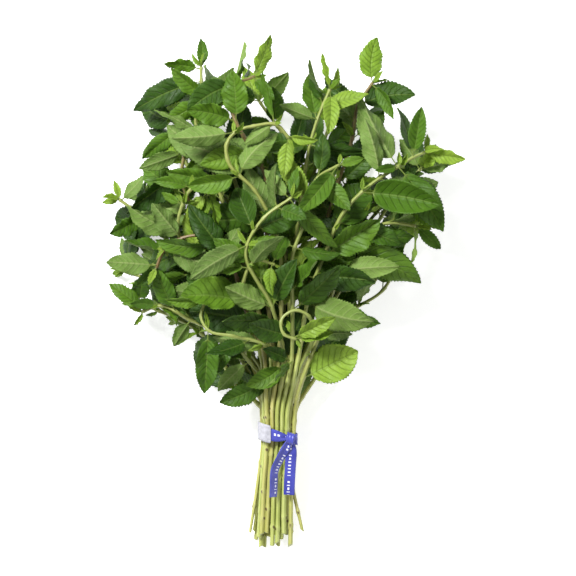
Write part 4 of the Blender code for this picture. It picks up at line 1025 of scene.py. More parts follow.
def leaf_rings(one):
    """Rings of 20 points round a leaf, with the values its shader reads.

    Half width = sqrt(stalk squared + outline squared) x (1 - tooth). Height of the upper side =
    fold x |v| + ripple x v squared x sin(along) + quilt x sin squared(vein phase) - groove at the
    midrib. The lower side is the same less the thickness, with ridges under midrib and veins.
    """
    rng = np.random.default_rng(one["seed"])
    length = one["length"]
    teeth = int(np.clip(round(length * (1 - STALK_SHARE) / TOOTH_PITCH), 5, 24))
    t, blade = leaf_stations(teeth)
    u = np.concatenate([np.zeros(4), blade])
    middle, side, up, _ = leaf_rows(one, t)
    broad = one["half_width"] * outline_width(u)
    half = np.sqrt(np.maximum(STALK_HALF * 0.8 * (1 - u), 0.1) ** 2 + broad**2)
    v = ACROSS[None, :]
    point = np.zeros(len(t))
    point[5::2] = 1
    depth = 0.42 + 0.055 * broad
    cut = np.where(point[:, None] > 0, 0, depth[:, None] / np.maximum(half[:, None], 0.3))
    cut = cut * rng.uniform(0.7, 1.25, (len(t), 2)) * (np.abs(u[:, None] - 0.52) < 0.46)
    taper = 1 - np.where(v < 0, cut[:, :1], cut[:, 1:]) * np.abs(v) ** 3
    out = half[:, None] * v * taper
    bladeness = np.clip(u / 0.08, 0, 1)[:, None]
    fold = one["fold"]
    ripples = rng.uniform(1.6, 3.4)
    phase = rng.uniform(0, 6.28, 2)
    waves = [np.sin(6.28 * ripples * u[:, None] + start) for start in phase]
    wave = np.where(v < 0, waves[0], waves[1])
    lift = np.abs(out) * math.sin(fold) * bladeness
    cup = rng.normal() * 0.2 - 0.06
    lift = lift + cup * half[:, None] * np.abs(v) ** 2.4 * bladeness
    lift = lift + (0.07 * half[:, None] + 0.12) * rng.uniform(0.8, 2.4) * wave * v**2 * bladeness
    vein = VEINS * (u[:, None] - VEIN_SWEEP * np.abs(v) ** 1.25)
    quilt = np.sin(math.pi * vein) ** 2
    inner = np.clip((1 - np.abs(v)) * 4, 0, 1) * np.clip(np.abs(v) * 6, 0, 1)
    size = min(half.max() / 9, 1.3)
    lift = lift + 0.7 * size * (quilt - 0.5) * inner * bladeness
    lift = lift - 0.5 * size * np.exp(-((v / 0.16) ** 2)) * bladeness
    thick = 0.15 * bladeness * np.clip((1 - np.abs(v)) * 5, 0.25, 1)
    thick = thick + (1 - bladeness) * 0.55 * np.sqrt(np.maximum(1 - v**2, 0))
    ridge = 0.5 * size * np.exp(-((v / 0.13) ** 2)) * (1 - 0.6 * u[:, None])
    ridge = ridge + 0.16 * size * (1 - quilt) ** 4 * inner
    across = (out * math.cos(fold) * np.ones_like(v))[..., None] * side[:, None, :]
    base = middle[:, None, :] + across
    upper = base + (lift + thick)[..., None] * up[:, None, :]
    lower = base + (lift - thick - ridge * bladeness)[..., None] * up[:, None, :]
    edge = lift[..., None] * up[:, None, :] + base
    upper[:, (0, -1)] = edge[:, (0, -1)]
    rings = np.concatenate([upper, lower[:, -2:0:-1]], axis=1)
    rings[..., 2] = off_floor(rings[..., 2] + SHIFT[2], FLOOR_MARGIN * 0.3) - SHIFT[2]
    columns = np.concatenate([ACROSS, ACROSS[-2:0:-1]])
    tone_and_shade = TONES[one["look"]]
    # leaves low in the bunch get a darker tone: painted shade from the leaves above them
    low = np.clip((58 - middle[:, 2].mean()) / 50, 0, 1)
    tone_and_shade = np.clip(tone_and_shade + rng.normal() * 0.1 - 0.14 * low, 0, 1)
    return rings, {
        "u": u[:, None], "v": (columns * 0.5 + 0.5)[None, :],
        "tone_and_shade": tone_and_shade, "stalk": 1 - np.clip(u / 0.05, 0, 1)[:, None],
        "chance": rng.uniform(),
    }


sample, _ = leaf_rings(sprigs[0]["leaves"][0])
print("one leaf has", sample.shape[0], "rings of", sample.shape[1], "points")

# %% [markdown]
# ## Stems
#
# A mint stem is square with rounded corners and slightly hollow sides. It swells at each joint.
# Below the tie the leaves were stripped off, and each joint keeps two small brown scars. The
# radius at angle a is R x (0.9 + 0.1 cos 4a) x (1 + swelling), and the cut end is a flat face
# cut a little askew, with paler pith. A few stems taper towards their cut ends, and the upper
# part of a few is red-brown.

# %% Stems
AROUND = np.radians(np.arange(0, 360, 22.5))
THIN_ENDS = ("sprig_13", "sprig_19", "sprig_21", "sprig_32")
BLUSH = {"sprig_01": 0.9, "sprig_08": 0.8, "sprig_15": 0.7, "sprig_19": 0.8, "sprig_12": 0.2}


def stem_rings(sprig, rng):
    """Rings of 16 points along the stem, closed by an inset ring at the cut end.

    Radius = R x (0.9 + 0.1 cos 4a) x (1 + 0.3 x sum of exp(-(distance to a joint / 1.6) squared)).
    """
    last = sprig["along"][-1]
    distances = np.concatenate([[0, 0, 0.4], np.arange(1.6, last, 1.7), [last + 0.5, last + 0.9]])
    inset = np.ones(len(distances))
    inset[0] = 0.5
    inset[-2:] = (0.75, 0.3)
    middle, forward, first, second = stations(sprig, np.clip(distances, 0, last))
    middle = middle + forward * np.maximum(distances - last, 0)[:, None]
    first_leaf = min(distance for distance, _ in sprig["grown"])
    bare = np.arange(rng.uniform(8, 22), first_leaf - 12, rng.uniform(25, 36))
    bare = bare + rng.uniform(-4, 4, len(bare))
    joints = np.concatenate([bare, [distance for distance, _ in sprig["grown"]]])
    near = np.exp(-(((distances[:, None] - joints) / 1.6) ** 2))
    scar = np.exp(-(((distances[:, None] - bare) / 0.9) ** 2))
    faces = np.cos(AROUND[None, :] - rng.uniform(0, 3.14, len(bare))[:, None]) ** 2
    radius = stem_radius(np.clip(distances / last, 0, 1)) * 1.04
    if sprig["name"] in THIN_ENDS:
        radius = radius * (0.64 + 0.4 * np.clip(distances / 70, 0, 0.9))
    wobble = 1 + 0.04 * np.sin(distances / rng.uniform(7, 13) + rng.uniform(0, 6))
    swell = 1 + 0.3 * near.sum(1) + 0.1 * scar.sum(1)
    profile = 0.9 + 0.1 * np.cos(4 * AROUND) + 0.015 * np.cos(8 * AROUND + 1)
    reach = (radius * wobble * swell * inset)[:, None] * profile
    across, up = np.cos(AROUND)[None, :, None], np.sin(AROUND)[None, :, None]
    out = across * first[:, None, :] + up * second[:, None, :]
    rings = middle[:, None, :] + reach[..., None] * out
    askew = rng.normal(0, 0.5, 2)
    lean = np.cos(AROUND) * askew[0] + np.sin(AROUND) * askew[1]
    rings[:3] += (lean[None, :, None] * inset[:3, None, None]) * forward[:3, None, :]
    redness = BLUSH.get(sprig["name"], 0.1) * np.clip((distances / last - 0.38) * 4, 0, 1)
    return rings, {
        "u": distances[:, None] / last, "v": 0.5, "scar": np.clip(scar @ (faces**3), 0, 1),
        "joint": near.sum(1)[:, None], "blush": redness[:, None], "chance": rng.uniform(),
        "pith": (np.arange(len(distances)) < 2)[:, None].astype(float),
        # ridge is lightest at the four corners, where the stem shader paints a highlight along each ridge
        "ridge": np.cos(4 * AROUND)[None, :] * 0.5 + 0.5,
    }


sample, _ = stem_rings(sprigs[0], np.random.default_rng(0))
print("the first stem has", sample.shape[0], "rings of", sample.shape[1], "points")

# %% [markdown]
# ## Young growth
#
# Each tip ends in a tuft of folded young leaves, and small side shoots sit in the angles
# between leaf and stem. They are leaves of the same kind, only a few millimetres long. One
# that would touch something already there is left out.

# %% Young leaves
def small_leaf(sprig, base, direction, length, rng):
    """A young leaf as the same kind of record that the large leaves have."""
    side = unit(np.cross(direction, rng.normal(size=3) * 0.5 + (0, 0, 1)))
    return {
        "sprig": sprig["name"], "base": base, "forward": direction, "side": side,
        "up": np.cross(side, direction), "length": length, "look": YOUNG,
        "half_width": length * rng.uniform(0.17, 0.24), "bend": rng.uniform(-0.7, 0.1),
        "sway": rng.normal() * 0.2, "twist": rng.normal() * 0.3,
        "fold": math.radians(rng.uniform(12, 38)), "seed": int(rng.integers(1e6)),
    }


def shoot(sprig, distance, count, aim, rng):
    """Count young leaves round the stem at a distance. aim(number) gives each one's turn round the
    stem, its lean along it, its spread from it and its length."""
    middle, forward, first, second, _ = station(sprig, distance)
    found = []
    for number in range(count):
        turn, lean, spread, length = aim(number)
        out = math.cos(turn) * first + math.sin(turn) * second
        found.append(small_leaf(sprig, middle, unit(forward * lean + out * spread), length, rng))
    return found


def young_growth(sprig, placed, rng):
    """The tuft at the tip and the side shoots at the joints, less those that touch something."""

    def tuft(number):
        """Four leaves that open wide and two short ones that stand close together."""
        turn = number * 1.57 + rng.uniform(-0.3, 0.3)
        return turn, 1.0, 0.95 if number < 4 else 0.35, rng.uniform(8, 15) - (number > 3) * 4

    def side_shoot(number):
        """Leaves at nearly even turns, well away from the stem."""
        return number * 2.1 + rng.uniform(0, 1.5), 0.9, 1.0, rng.uniform(6, 14)

    last = sprig["along"][-1]
    found = shoot(sprig, last, 6, tuft, rng)
    for distance in sorted({one["from"][0] for one in sprig["leaves"]}):
        if distance > last - 12 or rng.uniform() < 0.25:
            continue
        found += shoot(sprig, distance, int(rng.integers(2, 5)), side_shoot, rng)
    kept = []
    for one in found:
        if not placed.touches(*leaf_slab(one, (0.35, 0.6, 1.0), 0.15)):
            placed.add(*leaf_slab(one, (0.2, 0.6, 1.0), 0.0), sprig["name"])
            kept.append(one)
    return kept


joints = {(sprig["name"], one["from"][0]) for sprig in sprigs for one in sprig["leaves"]}
print("joints where a side shoot may grow:", len(joints))

# %% [markdown]
# ## Ribbon
#
# The ribbon is one strip: it passes round the stems along the tightest outline that clears
# them, is pulled through itself in a small knot, and its two ends hang over the stems, one
# turned partly on edge. A flat strip like this is built directly, by carrying its section along
# its path. The section is a thin slightly cupped bar; near the knot it gathers into folds.

# %% Ribbon sections
STRIP = np.array([-1, -0.75, -0.45, -0.15, 0.15, 0.45, 0.75, 1])
TAIL_RINGS = 70


def strip_rings(middle, side, up, half, thick, gather, rng, waves=2.0):
    """Rings of 16 points along a strip.

    Height across = cup x v squared + folds x sin(waves x v) x gather, and the folds fade away
    from the knot.
    """
    v = STRIP[None, :]
    phase = rng.uniform(0, 6.28)
    drift = np.arange(len(middle))[:, None] * 0.05
    lift = 0.12 * v**2 + gather[:, None] * np.sin(3.1 * waves * v + phase + drift)
    flat = middle[:, None, :] + (half[:, None] * v)[..., None] * side[:, None, :]
    thick_at = thick / 2 * np.clip((1 - np.abs(v)) * 6, 0.35, 1)
    top = flat + (lift + thick_at)[..., None] * up[:, None, :]
    bottom = flat + (lift - thick_at)[..., None] * up[:, None, :]
    return np.concatenate([top, bottom[:, ::-1]], axis=1)


def strip_values(count, start, end, shift=0.0):
    """UV for a strip: u in centimetres along it, v from edge to edge, moved across by the shift."""
    v = np.concatenate([STRIP, STRIP[::-1]]) * 0.5 + 0.5 + shift
    return {"u": np.linspace(start, end, count)[:, None], "v": v[None, :]}


def round_the_stems(place, out):
    """Middle, side and up directions of a strip that follows places seen along the stems."""
    y = band_middle(place[:, 0])
    middle = np.column_stack([place[:, 0], y, place[:, 1]])
    side = np.tile((0.0, 1.0, 0.0), (len(y), 1))
    return middle, side, np.column_stack([out[:, 0], 0 * y, out[:, 1]])


def band_rings(outline, outward, rng):
    """The ribbon's turn round the stems, open at the knot, narrowed and folded beside it."""
    below_top = outline[:, 1] - outline[:, 1].max()
    start = int(np.argmin(np.hypot(outline[:, 0] - KNOT_X, below_top * 2)))
    order = np.roll(np.arange(len(outline)), -start)
    order = np.append(order, order[0])
    place, out = outline[order], outward[order]
    steps = np.minimum(np.arange(len(order)), np.arange(len(order))[::-1])
    beside = steps * np.hypot(*(outline[1] - outline[0]))
    middle, side, up = round_the_stems(place, out)
    half = BAND_WIDTH / 2 * (1 - 0.5 * np.exp(-((beside / 5.5) ** 2)))
    gather = 0.5 * np.exp(-((beside / 6.0) ** 2)) + 0.04
    return strip_rings(middle + up * 0.35, side, up, half, RIBBON_THICK, gather, rng)


def tail_rings(path, turn, rng):
    """A tail: the solid's path made smooth, gathered where it leaves the knot, square at its end."""
    middle = smooth_path(path, TAIL_RINGS)
    share = np.linspace(0, 1, TAIL_RINGS)
    turn = np.interp(share, np.linspace(0, 1, len(path)), turn)[:, None]
    forward = unit(np.gradient(middle, axis=0))
    flat = unit(np.cross(forward, (0.0, 0.0, 1.0)))
    rise = np.cross(flat, forward)
    side = flat * np.cos(turn) + rise * np.sin(turn)
    up = np.cross(side, forward)
    gone = np.linspace(0, np.linalg.norm(np.diff(middle, axis=0), axis=1).sum(), TAIL_RINGS)
    half = TAIL_WIDTH / 2 * (1 - 0.55 * np.exp(-((gone / 7) ** 2)))
    gather = 0.55 * np.exp(-((gone / 9) ** 2)) + 0.06
    ripple = 0.35 * np.sin(gone / 5.3 + rng.uniform(0, 6))[:, None]
    return strip_rings(middle + up * ripple, side, up, half, RIBBON_THICK, gather, rng, 1.3), gone[-1]


print("a section of the ribbon has", 2 * len(STRIP), "points")

# %% [markdown]
# The knot is a rounded lump with pulled folds and one turn of the strip over it. The tag is a
# strip of stiffer paper outside the ribbon, with rounded corners.

# %% Knot and tag
def knot_rings(knot):
    """A small tight knot: a rounded lump whose radius swells and dips like pulled folds."""
    share = np.linspace(0, 1, 34)
    turn = np.radians(np.arange(0, 360, 9))
    size = np.sin(math.pi * np.clip(share, 0.015, 0.985)) ** 0.62
    folds = 1 + 0.1 * np.sin(5 * turn[None, :] + 3.2 * share[:, None])
    folds = folds + 0.06 * np.sin(11 * turn[None, :] - 5 * share[:, None])
    x = (share - 0.5) * KNOT_SIZE[0] * 0.85
    reach = size[:, None] * folds
    rings = np.empty((34, 40, 3))
    rings[..., 0] = knot[0] + x[:, None] + 0.5 * np.sin(turn)[None, :]
    rings[..., 1] = knot[1] + reach * np.cos(turn) * KNOT_SIZE[1] * 0.355 - 0.16 * x[:, None]
    rings[..., 2] = knot[2] + reach * np.sin(turn) * KNOT_SIZE[2] * 0.41
    return rings


def wrap_rings(knot, rng):
    """The strip pulled over the knot, from above the band to below it."""
    angle = np.radians(np.linspace(-62, 242, 60))
    up = np.column_stack([0 * angle, np.cos(angle), np.sin(angle)])
    round_knot = np.column_stack([0.35 * np.cos(angle), 3.7 * np.cos(angle), 2.8 * np.sin(angle)])
    middle = knot + round_knot
    side = np.tile(unit((1.0, -0.25, 0.0)), (60, 1))
    half = 2.1 + 0.4 * np.sin(angle)
    gather = 0.32 + 0.1 * np.cos(angle)
    return strip_rings(middle, side, unit(up), half, RIBBON_THICK, gather, rng, 2.2)


def tag_rings(sprigs):
    """The paper tag: a short strip over the ribbon with rounded corners and a faint crease."""
    outline, outward = snug_outline(sprigs, RIBBON_GAP + RIBBON_THICK + TAG_GAP, BAND_SECTIONS * 5)
    angle = np.degrees(np.arctan2(outward[:, 1], outward[:, 0])) % 360
    order = np.nonzero((outline[:, 0] < TAG_RIGHT) & (angle > 85) & (angle < TAG_LAST_TURN))[0]
    place, out = outline[order], outward[order]
    middle, side, up = round_the_stems(place, out)
    gone = np.arange(len(order)) * np.hypot(*(outline[1] - outline[0]))
    corner = np.minimum(gone, gone[-1] - gone)
    half = TAG_WIDTH / 2 - 1.0 + np.sqrt(np.maximum(1 - (1 - np.clip(corner, 0, 1)) ** 2, 0))
    crease = 0.1 * np.sin(gone * 1.1) + 0.03
    rng = np.random.default_rng(5)
    rings = strip_rings(middle + up * 0.3, side, up, half, TAG_THICK, crease, rng, 0.6)
    return rings, gone[-1]


print("the knot has", knot_rings(knot).shape[0], "rings")

# %% [markdown]
# ## Materials
#
# The leaf's veins are drawn from its own UV: u runs from stalk to tip and v from edge to edge,
# so the distance from the nearest vein is the distance of the vein phase from a whole number,
# the same phase that shapes the quilt. Light passes through a leaf, so a share of a
# translucent shader is mixed in.

# %% Shader graphs in few words
class Graph:
    """A new material's shader graph, with short ways to add to it."""

    def __init__(self, name):
        """A material with a Principled shader."""
        self.material = bpy.data.materials.new(name)
        self.material.use_nodes = True
        self.tree = self.material.node_tree
        self.shader = self.tree.nodes["Principled BSDF"]

    def feed(self, socket, value):
        """Links a socket into another, or sets it to a number, a vector or a colour."""
        if isinstance(value, bpy.types.NodeSocket):
            self.tree.links.new(value, socket)
        elif isinstance(value, tuple) and socket.type == "RGBA":
            socket.default_value = (*value, 1)
        else:
            socket.default_value = value

    def put(self, kind, inputs=None, **settings):
        """A node with its settings, its inputs linked or set; returns the node."""
        made = self.tree.nodes.new("ShaderNode" + kind)
        for name, value in settings.items():
            setattr(made, name, value)
        for name, value in (inputs or {}).items():
            self.feed(made.inputs[name], value)
        return made

    def surface(self, **inputs):
        """Sets or links inputs of the Principled shader, with _ for each space in a name."""
        for name, value in inputs.items():
            self.feed(self.shader.inputs[name.replace("_", " ")], value)

    def math(self, operation, *values):
        """The result of one arithmetic node."""
        return self.put("Math", dict(enumerate(values)), operation=operation).outputs[0]

    def times(self, one, other):
        """One value times another."""
        return self.math("MULTIPLY", one, other)

    def scaled(self, value, factor, added):
        """Value x factor + added."""
        return self.math("MULTIPLY_ADD", value, factor, added)

    def ease(self, value, low, high):
        """0 at low, 1 at high, eased between: 3s^2 - 2s^3."""
        span = {"Value": value, "From Min": low, "From Max": high}
        return self.put("MapRange", span, interpolation_type="SMOOTHSTEP").outputs["Result"]

    def span(self, value, low, high):
        """A value from 0 to 1 stretched to run from low to high."""
        return self.put("MapRange", {"Value": value, "To Min": low, "To Max": high}).outputs["Result"]

    def blend(self, share, one, other, how="MIX"):
        """Two colours mixed by a share."""
        made = self.put("Mix", data_type="RGBA", blend_type=how)
        for number, value in ((0, share), (6, one), (7, other)):
            self.feed(made.inputs[number], value)
        return made.outputs[2]

    def tint(self, colour, red, green, blue):
        """A colour multiplied channel by channel."""
        parts = self.put("CombineXYZ", {0: red, 1: green, 2: blue}).outputs[0]
        return self.blend(1.0, colour, parts, "MULTIPLY")

    def ramp(self, value, stops):
        """Colours along a value."""
        made = self.put("ValToRGB", {"Fac": value})
        marks = made.color_ramp.elements
        while len(marks) < len(stops):
            marks.new(0.5)
        for mark, (place, colour) in zip(marks, stops):
            mark.position = place
            mark.color = (*colour, 1)
        return made.outputs["Color"]

    def stored(self, name):
        """A value stored on the mesh."""
        return self.put("Attribute", attribute_name=name).outputs["Fac"]

    def place(self):
        """The place in the object's own coordinates."""
        return self.put("TexCoord").outputs["Object"]

    def uv(self):
        """The mesh's u and v."""
        flat = self.put("UVMap", uv_map="UVMap").outputs["UV"]
        parts = self.put("SeparateXYZ", {"Vector": flat})
        return parts.outputs["X"], parts.outputs["Y"]

    def noise(self, scale, detail=2.0):
        """Smooth noise in the object's own coordinates."""
        return self.put("TexNoise", {"Vector": self.place(), "Scale": scale, "Detail": detail}).outputs["Fac"]

    def bump(self, height, strength, distance):
        """Bends the surface's light by a height, in shares of a distance in metres."""
        made = self.put("Bump", {"Height": height, "Strength": strength, "Distance": distance})
        self.surface(Normal=made.outputs["Normal"])

    def let_through(self, share, colour):
        """Mixes in a share of light that comes through from the far side."""
        through = self.put("BsdfTranslucent", {"Color": colour})
        mixed = self.put("MixShader", {0: share, 1: self.shader.outputs[0], 2: through.outputs[0]})
        self.feed(self.tree.nodes["Material Output"].inputs["Surface"], mixed.outputs[0])


print("shader graph helpers:", sum(callable(part) for part in vars(Graph).values()))

# %% [markdown]
# A leaf's colour runs from old and dark to young and bright by its tone, and leaves low in the
# bunch are darker still, which is painted shade from the leaves above them. Over that come the
# fine net between the veins, the side veins and the midrib. On the upper side the side veins lie
# in grooves, and shade is painted into them, so they are darker than the blade; on the underside
# all of them are pale.

# %% Leaf, upper and under side
STALK_GREEN = (0.22, 0.30, 0.06)
# GROOVE_SHADE: painted shade, a darker share of the vein's colour put where a vein lies in a groove
GROOVE_SHADE = 0.12  # of the vein's colour, where a vein lies in a groove


def leaf_material(name, stops, vein_colour, vein_shares, roughness, depth, glow):
    """One side of a leaf. vein_shares are how much midrib, side veins and net show, and a share
    under 0 paints shade into a groove. Distance from a side vein = |fraction(phase + 0.5) - 0.5|, where
    phase = VEINS x (u - VEIN_SWEEP x |v|^1.25) + a little wander."""
    g = Graph(name)
    u, from_edge = g.uv()
    v = g.math("ABSOLUTE", g.scaled(from_edge, 2.0, -1.0))
    sweep = g.times(g.math("POWER", v, 1.25), VEIN_SWEEP)
    phase = g.scaled(g.math("SUBTRACT", u, sweep), VEINS, g.scaled(g.noise(260.0), 0.16, -0.08))
    turned = g.math("FRACT", g.math("ADD", phase, 0.5))
    off = g.math("ABSOLUTE", g.math("SUBTRACT", turned, 0.5))
    side_vein = g.times(g.ease(off, 0.13, 0.02), g.ease(v, 1.05, 0.5))
    midrib = g.ease(v, 0.1, 0.025)
    cells = g.put("TexVoronoi", {"Vector": g.place(), "Scale": 620.0}, feature="DISTANCE_TO_EDGE")
    net = g.ease(cells.outputs["Distance"], 0.16, 0.02)
    tone_and_shade = g.math("ADD", g.stored("tone_and_shade"), g.scaled(g.noise(55.0), 0.36, -0.18))
    patchy = g.span(g.noise(420.0, 4.0), 0.78, 1.2)
    colour = g.tint(g.ramp(tone_and_shade, stops), patchy, patchy, patchy)
    for mask, share in zip((net, side_vein, midrib), vein_shares[::-1]):
        # a share under 0 paints shade into the vein's groove, as a darker copy of the vein colour
        paint = vein_colour if share > 0 else tuple(GROOVE_SHADE * part for part in vein_colour)
        colour = g.blend(g.times(mask, abs(share)), colour, paint)
    colour = g.blend(g.stored("stalk"), colour, STALK_GREEN)
    rough = g.span(g.noise(900.0, 3.0), roughness - 0.07, roughness + 0.12)
    g.surface(Base_Color=colour, Roughness=rough, Specular_IOR_Level=0.24)
    raised = g.math("ADD", g.times(midrib, 0.6), g.times(side_vein, 0.5))
    raised = g.times(g.scaled(net, 0.1, raised), depth)
    g.bump(g.scaled(g.noise(1500.0), 0.06, raised), 0.8, 0.0006)
    g.let_through(0.28, g.blend(1.0, colour, glow, "MULTIPLY"))
    return g.material


UPPER = leaf_material(
    "leaf_upper",
    ((0.0, (0.024, 0.068, 0.006)), (0.35, (0.075, 0.17, 0.012)), (0.65, (0.155, 0.285, 0.022)),
     (1.0, (0.265, 0.4, 0.047))),
    (0.2, 0.3, 0.06), (0.3, -0.3, 0.04), roughness=0.4, depth=-1.6, glow=(1.9, 1.7, 1.0))
UNDER_SIDE = leaf_material(
    "leaf_under",
    ((0.0, (0.115, 0.2, 0.04)), (0.4, (0.16, 0.27, 0.052)), (1.0, (0.28, 0.42, 0.08))),
    (0.34, 0.42, 0.15), (0.6, 0.35, 0.15), roughness=0.56, depth=1.0, glow=(1.5, 1.5, 0.9))
print("leaf materials:", UPPER.name, UNDER_SIDE.name)

# %% [markdown]
# A stem is yellow-green with long pale streaks, greener towards the tip, and red-brown on the
# upper part of a few. Its corners are lighter as a painted highlight along the ridges, its joints
# lighter, its scars brown, its pith pale.

# %% Stem
STREAKS = ((0.3, (0.32, 0.37, 0.07)), (0.5, (0.44, 0.48, 0.12)), (0.7, (0.54, 0.56, 0.2)))


def stem_material():
    """Each paint covers what is under it by its mask x its share, one after the other."""
    g = Graph("stem_skin")
    u, _ = g.uv()
    stretched = g.put("Mapping", {"Vector": g.place(), "Scale": (6.0, 0.35, 6.0)}).outputs["Vector"]
    streak = g.put("TexNoise", {"Vector": stretched, "Scale": 60.0, "Detail": 4.0}).outputs["Fac"]
    tint = g.span(g.stored("chance"), 0.86, 1.06)
    colour = g.tint(g.ramp(streak, STREAKS), 1.0, tint, tint)
    for mask, share, paint in (
        # lighter corners: a painted highlight along the ridges
        (g.stored("ridge"), 0.3, (0.62, 0.66, 0.24)),
        (g.stored("joint"), 0.25, (0.5, 0.52, 0.22)),
        (g.ease(u, 0.36, 0.62), 0.72, (0.22, 0.29, 0.06)),
        (g.stored("blush"), 0.9, (0.16, 0.075, 0.035)),
        (g.ease(g.stored("scar"), 0.1, 0.55), 0.92, (0.085, 0.05, 0.02)),
        (g.stored("pith"), 1.0, (0.50, 0.53, 0.28)),
    ):
        colour = g.blend(g.times(mask, share), colour, paint)
    g.surface(Base_Color=colour, Roughness=0.45)
    g.bump(g.noise(700.0, 4.0), 0.35, 0.0004)
    g.let_through(0.15, colour)
    return g.material


STEM = stem_material()
print("stem material:", STEM.name)

# %% [markdown]
# The ribbon is blue satin with fine cross threads. A row of plain white strokes of differing
# lengths stands for printing, and spells nothing. The paper is white with a soft grain.

# %% Ribbon and paper
STROKES = 4.2  # in each centimetre of ribbon
STROKE_ROW = 0.58  # where their middle is across the ribbon
THREADS = 260.0  # a turn of the threads' wave is 2 pi / THREADS of a centimetre


def ribbon_material():
    """A stroke shows where |fraction(u x STROKES) - 0.5| is under half its random length and
    |v - STROKE_ROW| is under half its width."""
    g = Graph("ribbon_satin")
    u, v = g.uv()
    count = g.times(u, STROKES)
    cell = g.math("FLOOR", count)
    chance = g.put("TexWhiteNoise", {"W": cell}, noise_dimensions="1D").outputs["Value"]
    along = g.math("ABSOLUTE", g.math("SUBTRACT", g.math("FRACT", count), 0.5))
    across = g.math("ABSOLUTE", g.math("SUBTRACT", v, STROKE_ROW))
    long = g.math("LESS_THAN", along, g.scaled(chance, 0.44, -0.07))
    wide = g.math("LESS_THAN", across, g.scaled(chance, -0.12, 0.2))
    satin = g.ramp(g.noise(90.0), ((0.3, (0.03, 0.036, 0.27)), (0.7, (0.06, 0.07, 0.42))))
    colour = g.blend(g.times(g.times(long, wide), 0.85), satin, (0.82, 0.83, 0.9))
    g.surface(Base_Color=colour, Roughness=0.36, Sheen_Weight=0.25)
    g.bump(g.math("SINE", g.times(u, THREADS)), 0.12, 0.0001)
    return g.material


def paper_material():
    """White paper: a colour from noise, and a finer noise as its grain."""
    g = Graph("paper_white")
    colour = g.ramp(g.noise(500.0, 5.0), ((0.3, (0.32, 0.32, 0.36)), (0.7, (0.46, 0.46, 0.51))))
    g.surface(Base_Color=colour, Roughness=0.65)
    g.bump(g.noise(1200.0, 4.0), 0.3, 0.0002)
    return g.material


RIBBON, PAPER = ribbon_material(), paper_material()
print("tie materials:", RIBBON.name, PAPER.name)

# %% [markdown]
# ## Building the pieces
#
# Each sprig is shown as two pieces, its stem and its leaves, which stand for its one solid.

# %% Sprigs
def shown(tubes, name, materials, node):
    """Makes a piece of the tubes and ties it to the solid it stands for."""
    piece = tubes.build(name, materials)
    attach(piece, "root")
    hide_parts(node)


def one_tube(rings, **values):
    """A collection of a single tube."""
    tubes = Tubes()
    tubes.add(rings, **values)
    return tubes


leaf_total = small_total = 0
for number, sprig in enumerate(sprigs):
    name = sprig["name"]
    rng = np.random.default_rng(900 + number)
    rings, values = stem_rings(sprig, rng)
    shown(one_tube(rings, **values), name + "_stem", [STEM], name)
    small = young_growth(sprig, placed, rng)
    leaves = Tubes()
    for one in sprig["leaves"] + small:
        rings, values = leaf_rings(one)
        leaves.add(rings, LEAF_SIDES, **values)
    shown(leaves, name + "_leaves", [UPPER, UNDER_SIDE], name)
    leaf_total += len(sprig["leaves"])
    small_total += len(small)
print("leaves:", leaf_total, "young leaves:", small_total)

# %% [markdown]
# The ribbon is shown as its band, two tails and knot, which stand for its one solid.

# %% Ribbon and tag
MM_PER_CM = 10
rng = np.random.default_rng(31)
dense, dense_out = snug_outline(sprigs, RIBBON_GAP, 180)
round_length = len(dense) * float(np.hypot(*(dense[1] - dense[0])))
values = strip_values(len(dense) + 1, 0, 7.4)
shown(one_tube(band_rings(dense, dense_out, rng), **values), "ribbon_band", [RIBBON], "ribbon_tie")
for letter, (path, turn), shift in zip("ab", tails, (0.3, 0.0)):
    rings, length = tail_rings(path, turn, rng)
    tail = one_tube(rings, **strip_values(len(rings), 0, length / MM_PER_CM, shift))
    shown(tail, "ribbon_tail_" + letter, [RIBBON], "ribbon_tie")
    print("ribbon tail", letter, round(length, 1), "mm long")
lump = one_tube(knot_rings(knot), u=0.0, v=0.0)
rings = wrap_rings(knot, rng)
lump.add(rings, **strip_values(len(rings), 0.0, 0.0))
shown(lump, "ribbon_knot", [RIBBON], "ribbon_tie")
rings, length = tag_rings(sprigs)
tag = one_tube(rings, **strip_values(len(rings), 0, length / MM_PER_CM))
shown(tag, "tag_paper", [PAPER], "paper_tag")
print("ribbon band", round(round_length, 1), "mm round, tag", round(length, 1), "mm long")

# %% [markdown]
# ## Table and light
#
# The bunch lies on a plain white table. A strong soft light stands beyond the tips on the left, a
# weak broad one opposite it, and the surroundings are pale.

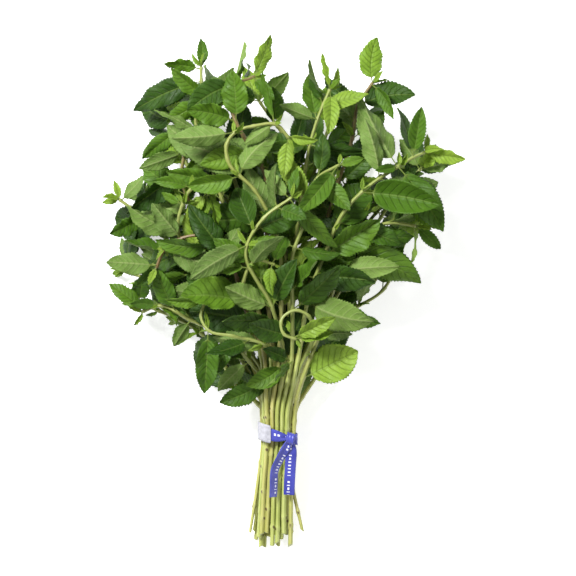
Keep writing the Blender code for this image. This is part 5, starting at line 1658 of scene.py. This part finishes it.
# %% Table and light
TABLE = 6  # half its side, in metres
floor_mesh = bpy.data.meshes.new("table_top")
corners = [(-TABLE, -TABLE, 0), (TABLE, -TABLE, 0), (TABLE, TABLE, 0), (-TABLE, TABLE, 0)]
floor_mesh.from_pydata(corners, [], [(0, 1, 2, 3)])
floor = bpy.data.objects.new("table_top", floor_mesh)
bpy.context.scene.collection.objects.link(floor)
white = Graph("table_white")
white.surface(Base_Color=(0.8, 0.8, 0.8), Roughness=0.9)
white.surface(Emission_Color=(1.0, 1.0, 1.0), Emission_Strength=0.6)
floor_mesh.materials.append(white.material)

world = bpy.data.worlds.new("pale_room")
bpy.context.scene.world = world
world.use_nodes = True
background = world.node_tree.nodes["Background"]
background.inputs["Color"].default_value = (1, 1, 1, 1)
background.inputs["Strength"].default_value = 0.42


def area_light(name, place, aim, size, power):
    """A square soft light at a place, turned towards an aim."""
    data = bpy.data.lights.new(name, "AREA")
    data.size = size
    data.energy = power
    lamp = bpy.data.objects.new(name, data)
    lamp.location = place
    lamp.rotation_euler = (Vector(aim) - Vector(place)).to_track_quat("-Z", "Y").to_euler()
    bpy.context.scene.collection.objects.link(lamp)


area_light("key", (-0.7, 0.75, 1.3), (0, 0, 0), 0.4, 47)
area_light("fill", (0.9, -0.7, 1.1), (0, 0, 0), 0.9, 5)

# %% [markdown]
# ## Camera
#
# The camera looks straight down from four metres with a long lens, so that the tall middle of the
# bunch is hardly larger than its edges. Lens = sensor width x distance / width of table in view.

# %% Camera
VIEW_DISTANCE = 4.0  # from the middle height of the bunch, in metres
MIDDLE_HEIGHT = 0.055
VIEW_WIDTH = 403.2 * MM
VIEW_MIDDLE = (np.array([2.8, 2.45]) + SHIFT[:2]) * MM
camera_data = bpy.data.cameras.new("camera")
camera_data.sensor_width = 36
camera_data.lens = camera_data.sensor_width * VIEW_DISTANCE / VIEW_WIDTH
camera_data.clip_end = 30
camera = bpy.data.objects.new("camera", camera_data)
camera.location = (*VIEW_MIDDLE, VIEW_DISTANCE + MIDDLE_HEIGHT)
bpy.context.scene.collection.objects.link(camera)
bpy.context.scene.camera = camera
bpy.context.scene.view_settings.view_transform = "Standard"
print("camera at", [round(part, 3) for part in camera.location], "m, lens", round(camera_data.lens), "mm")
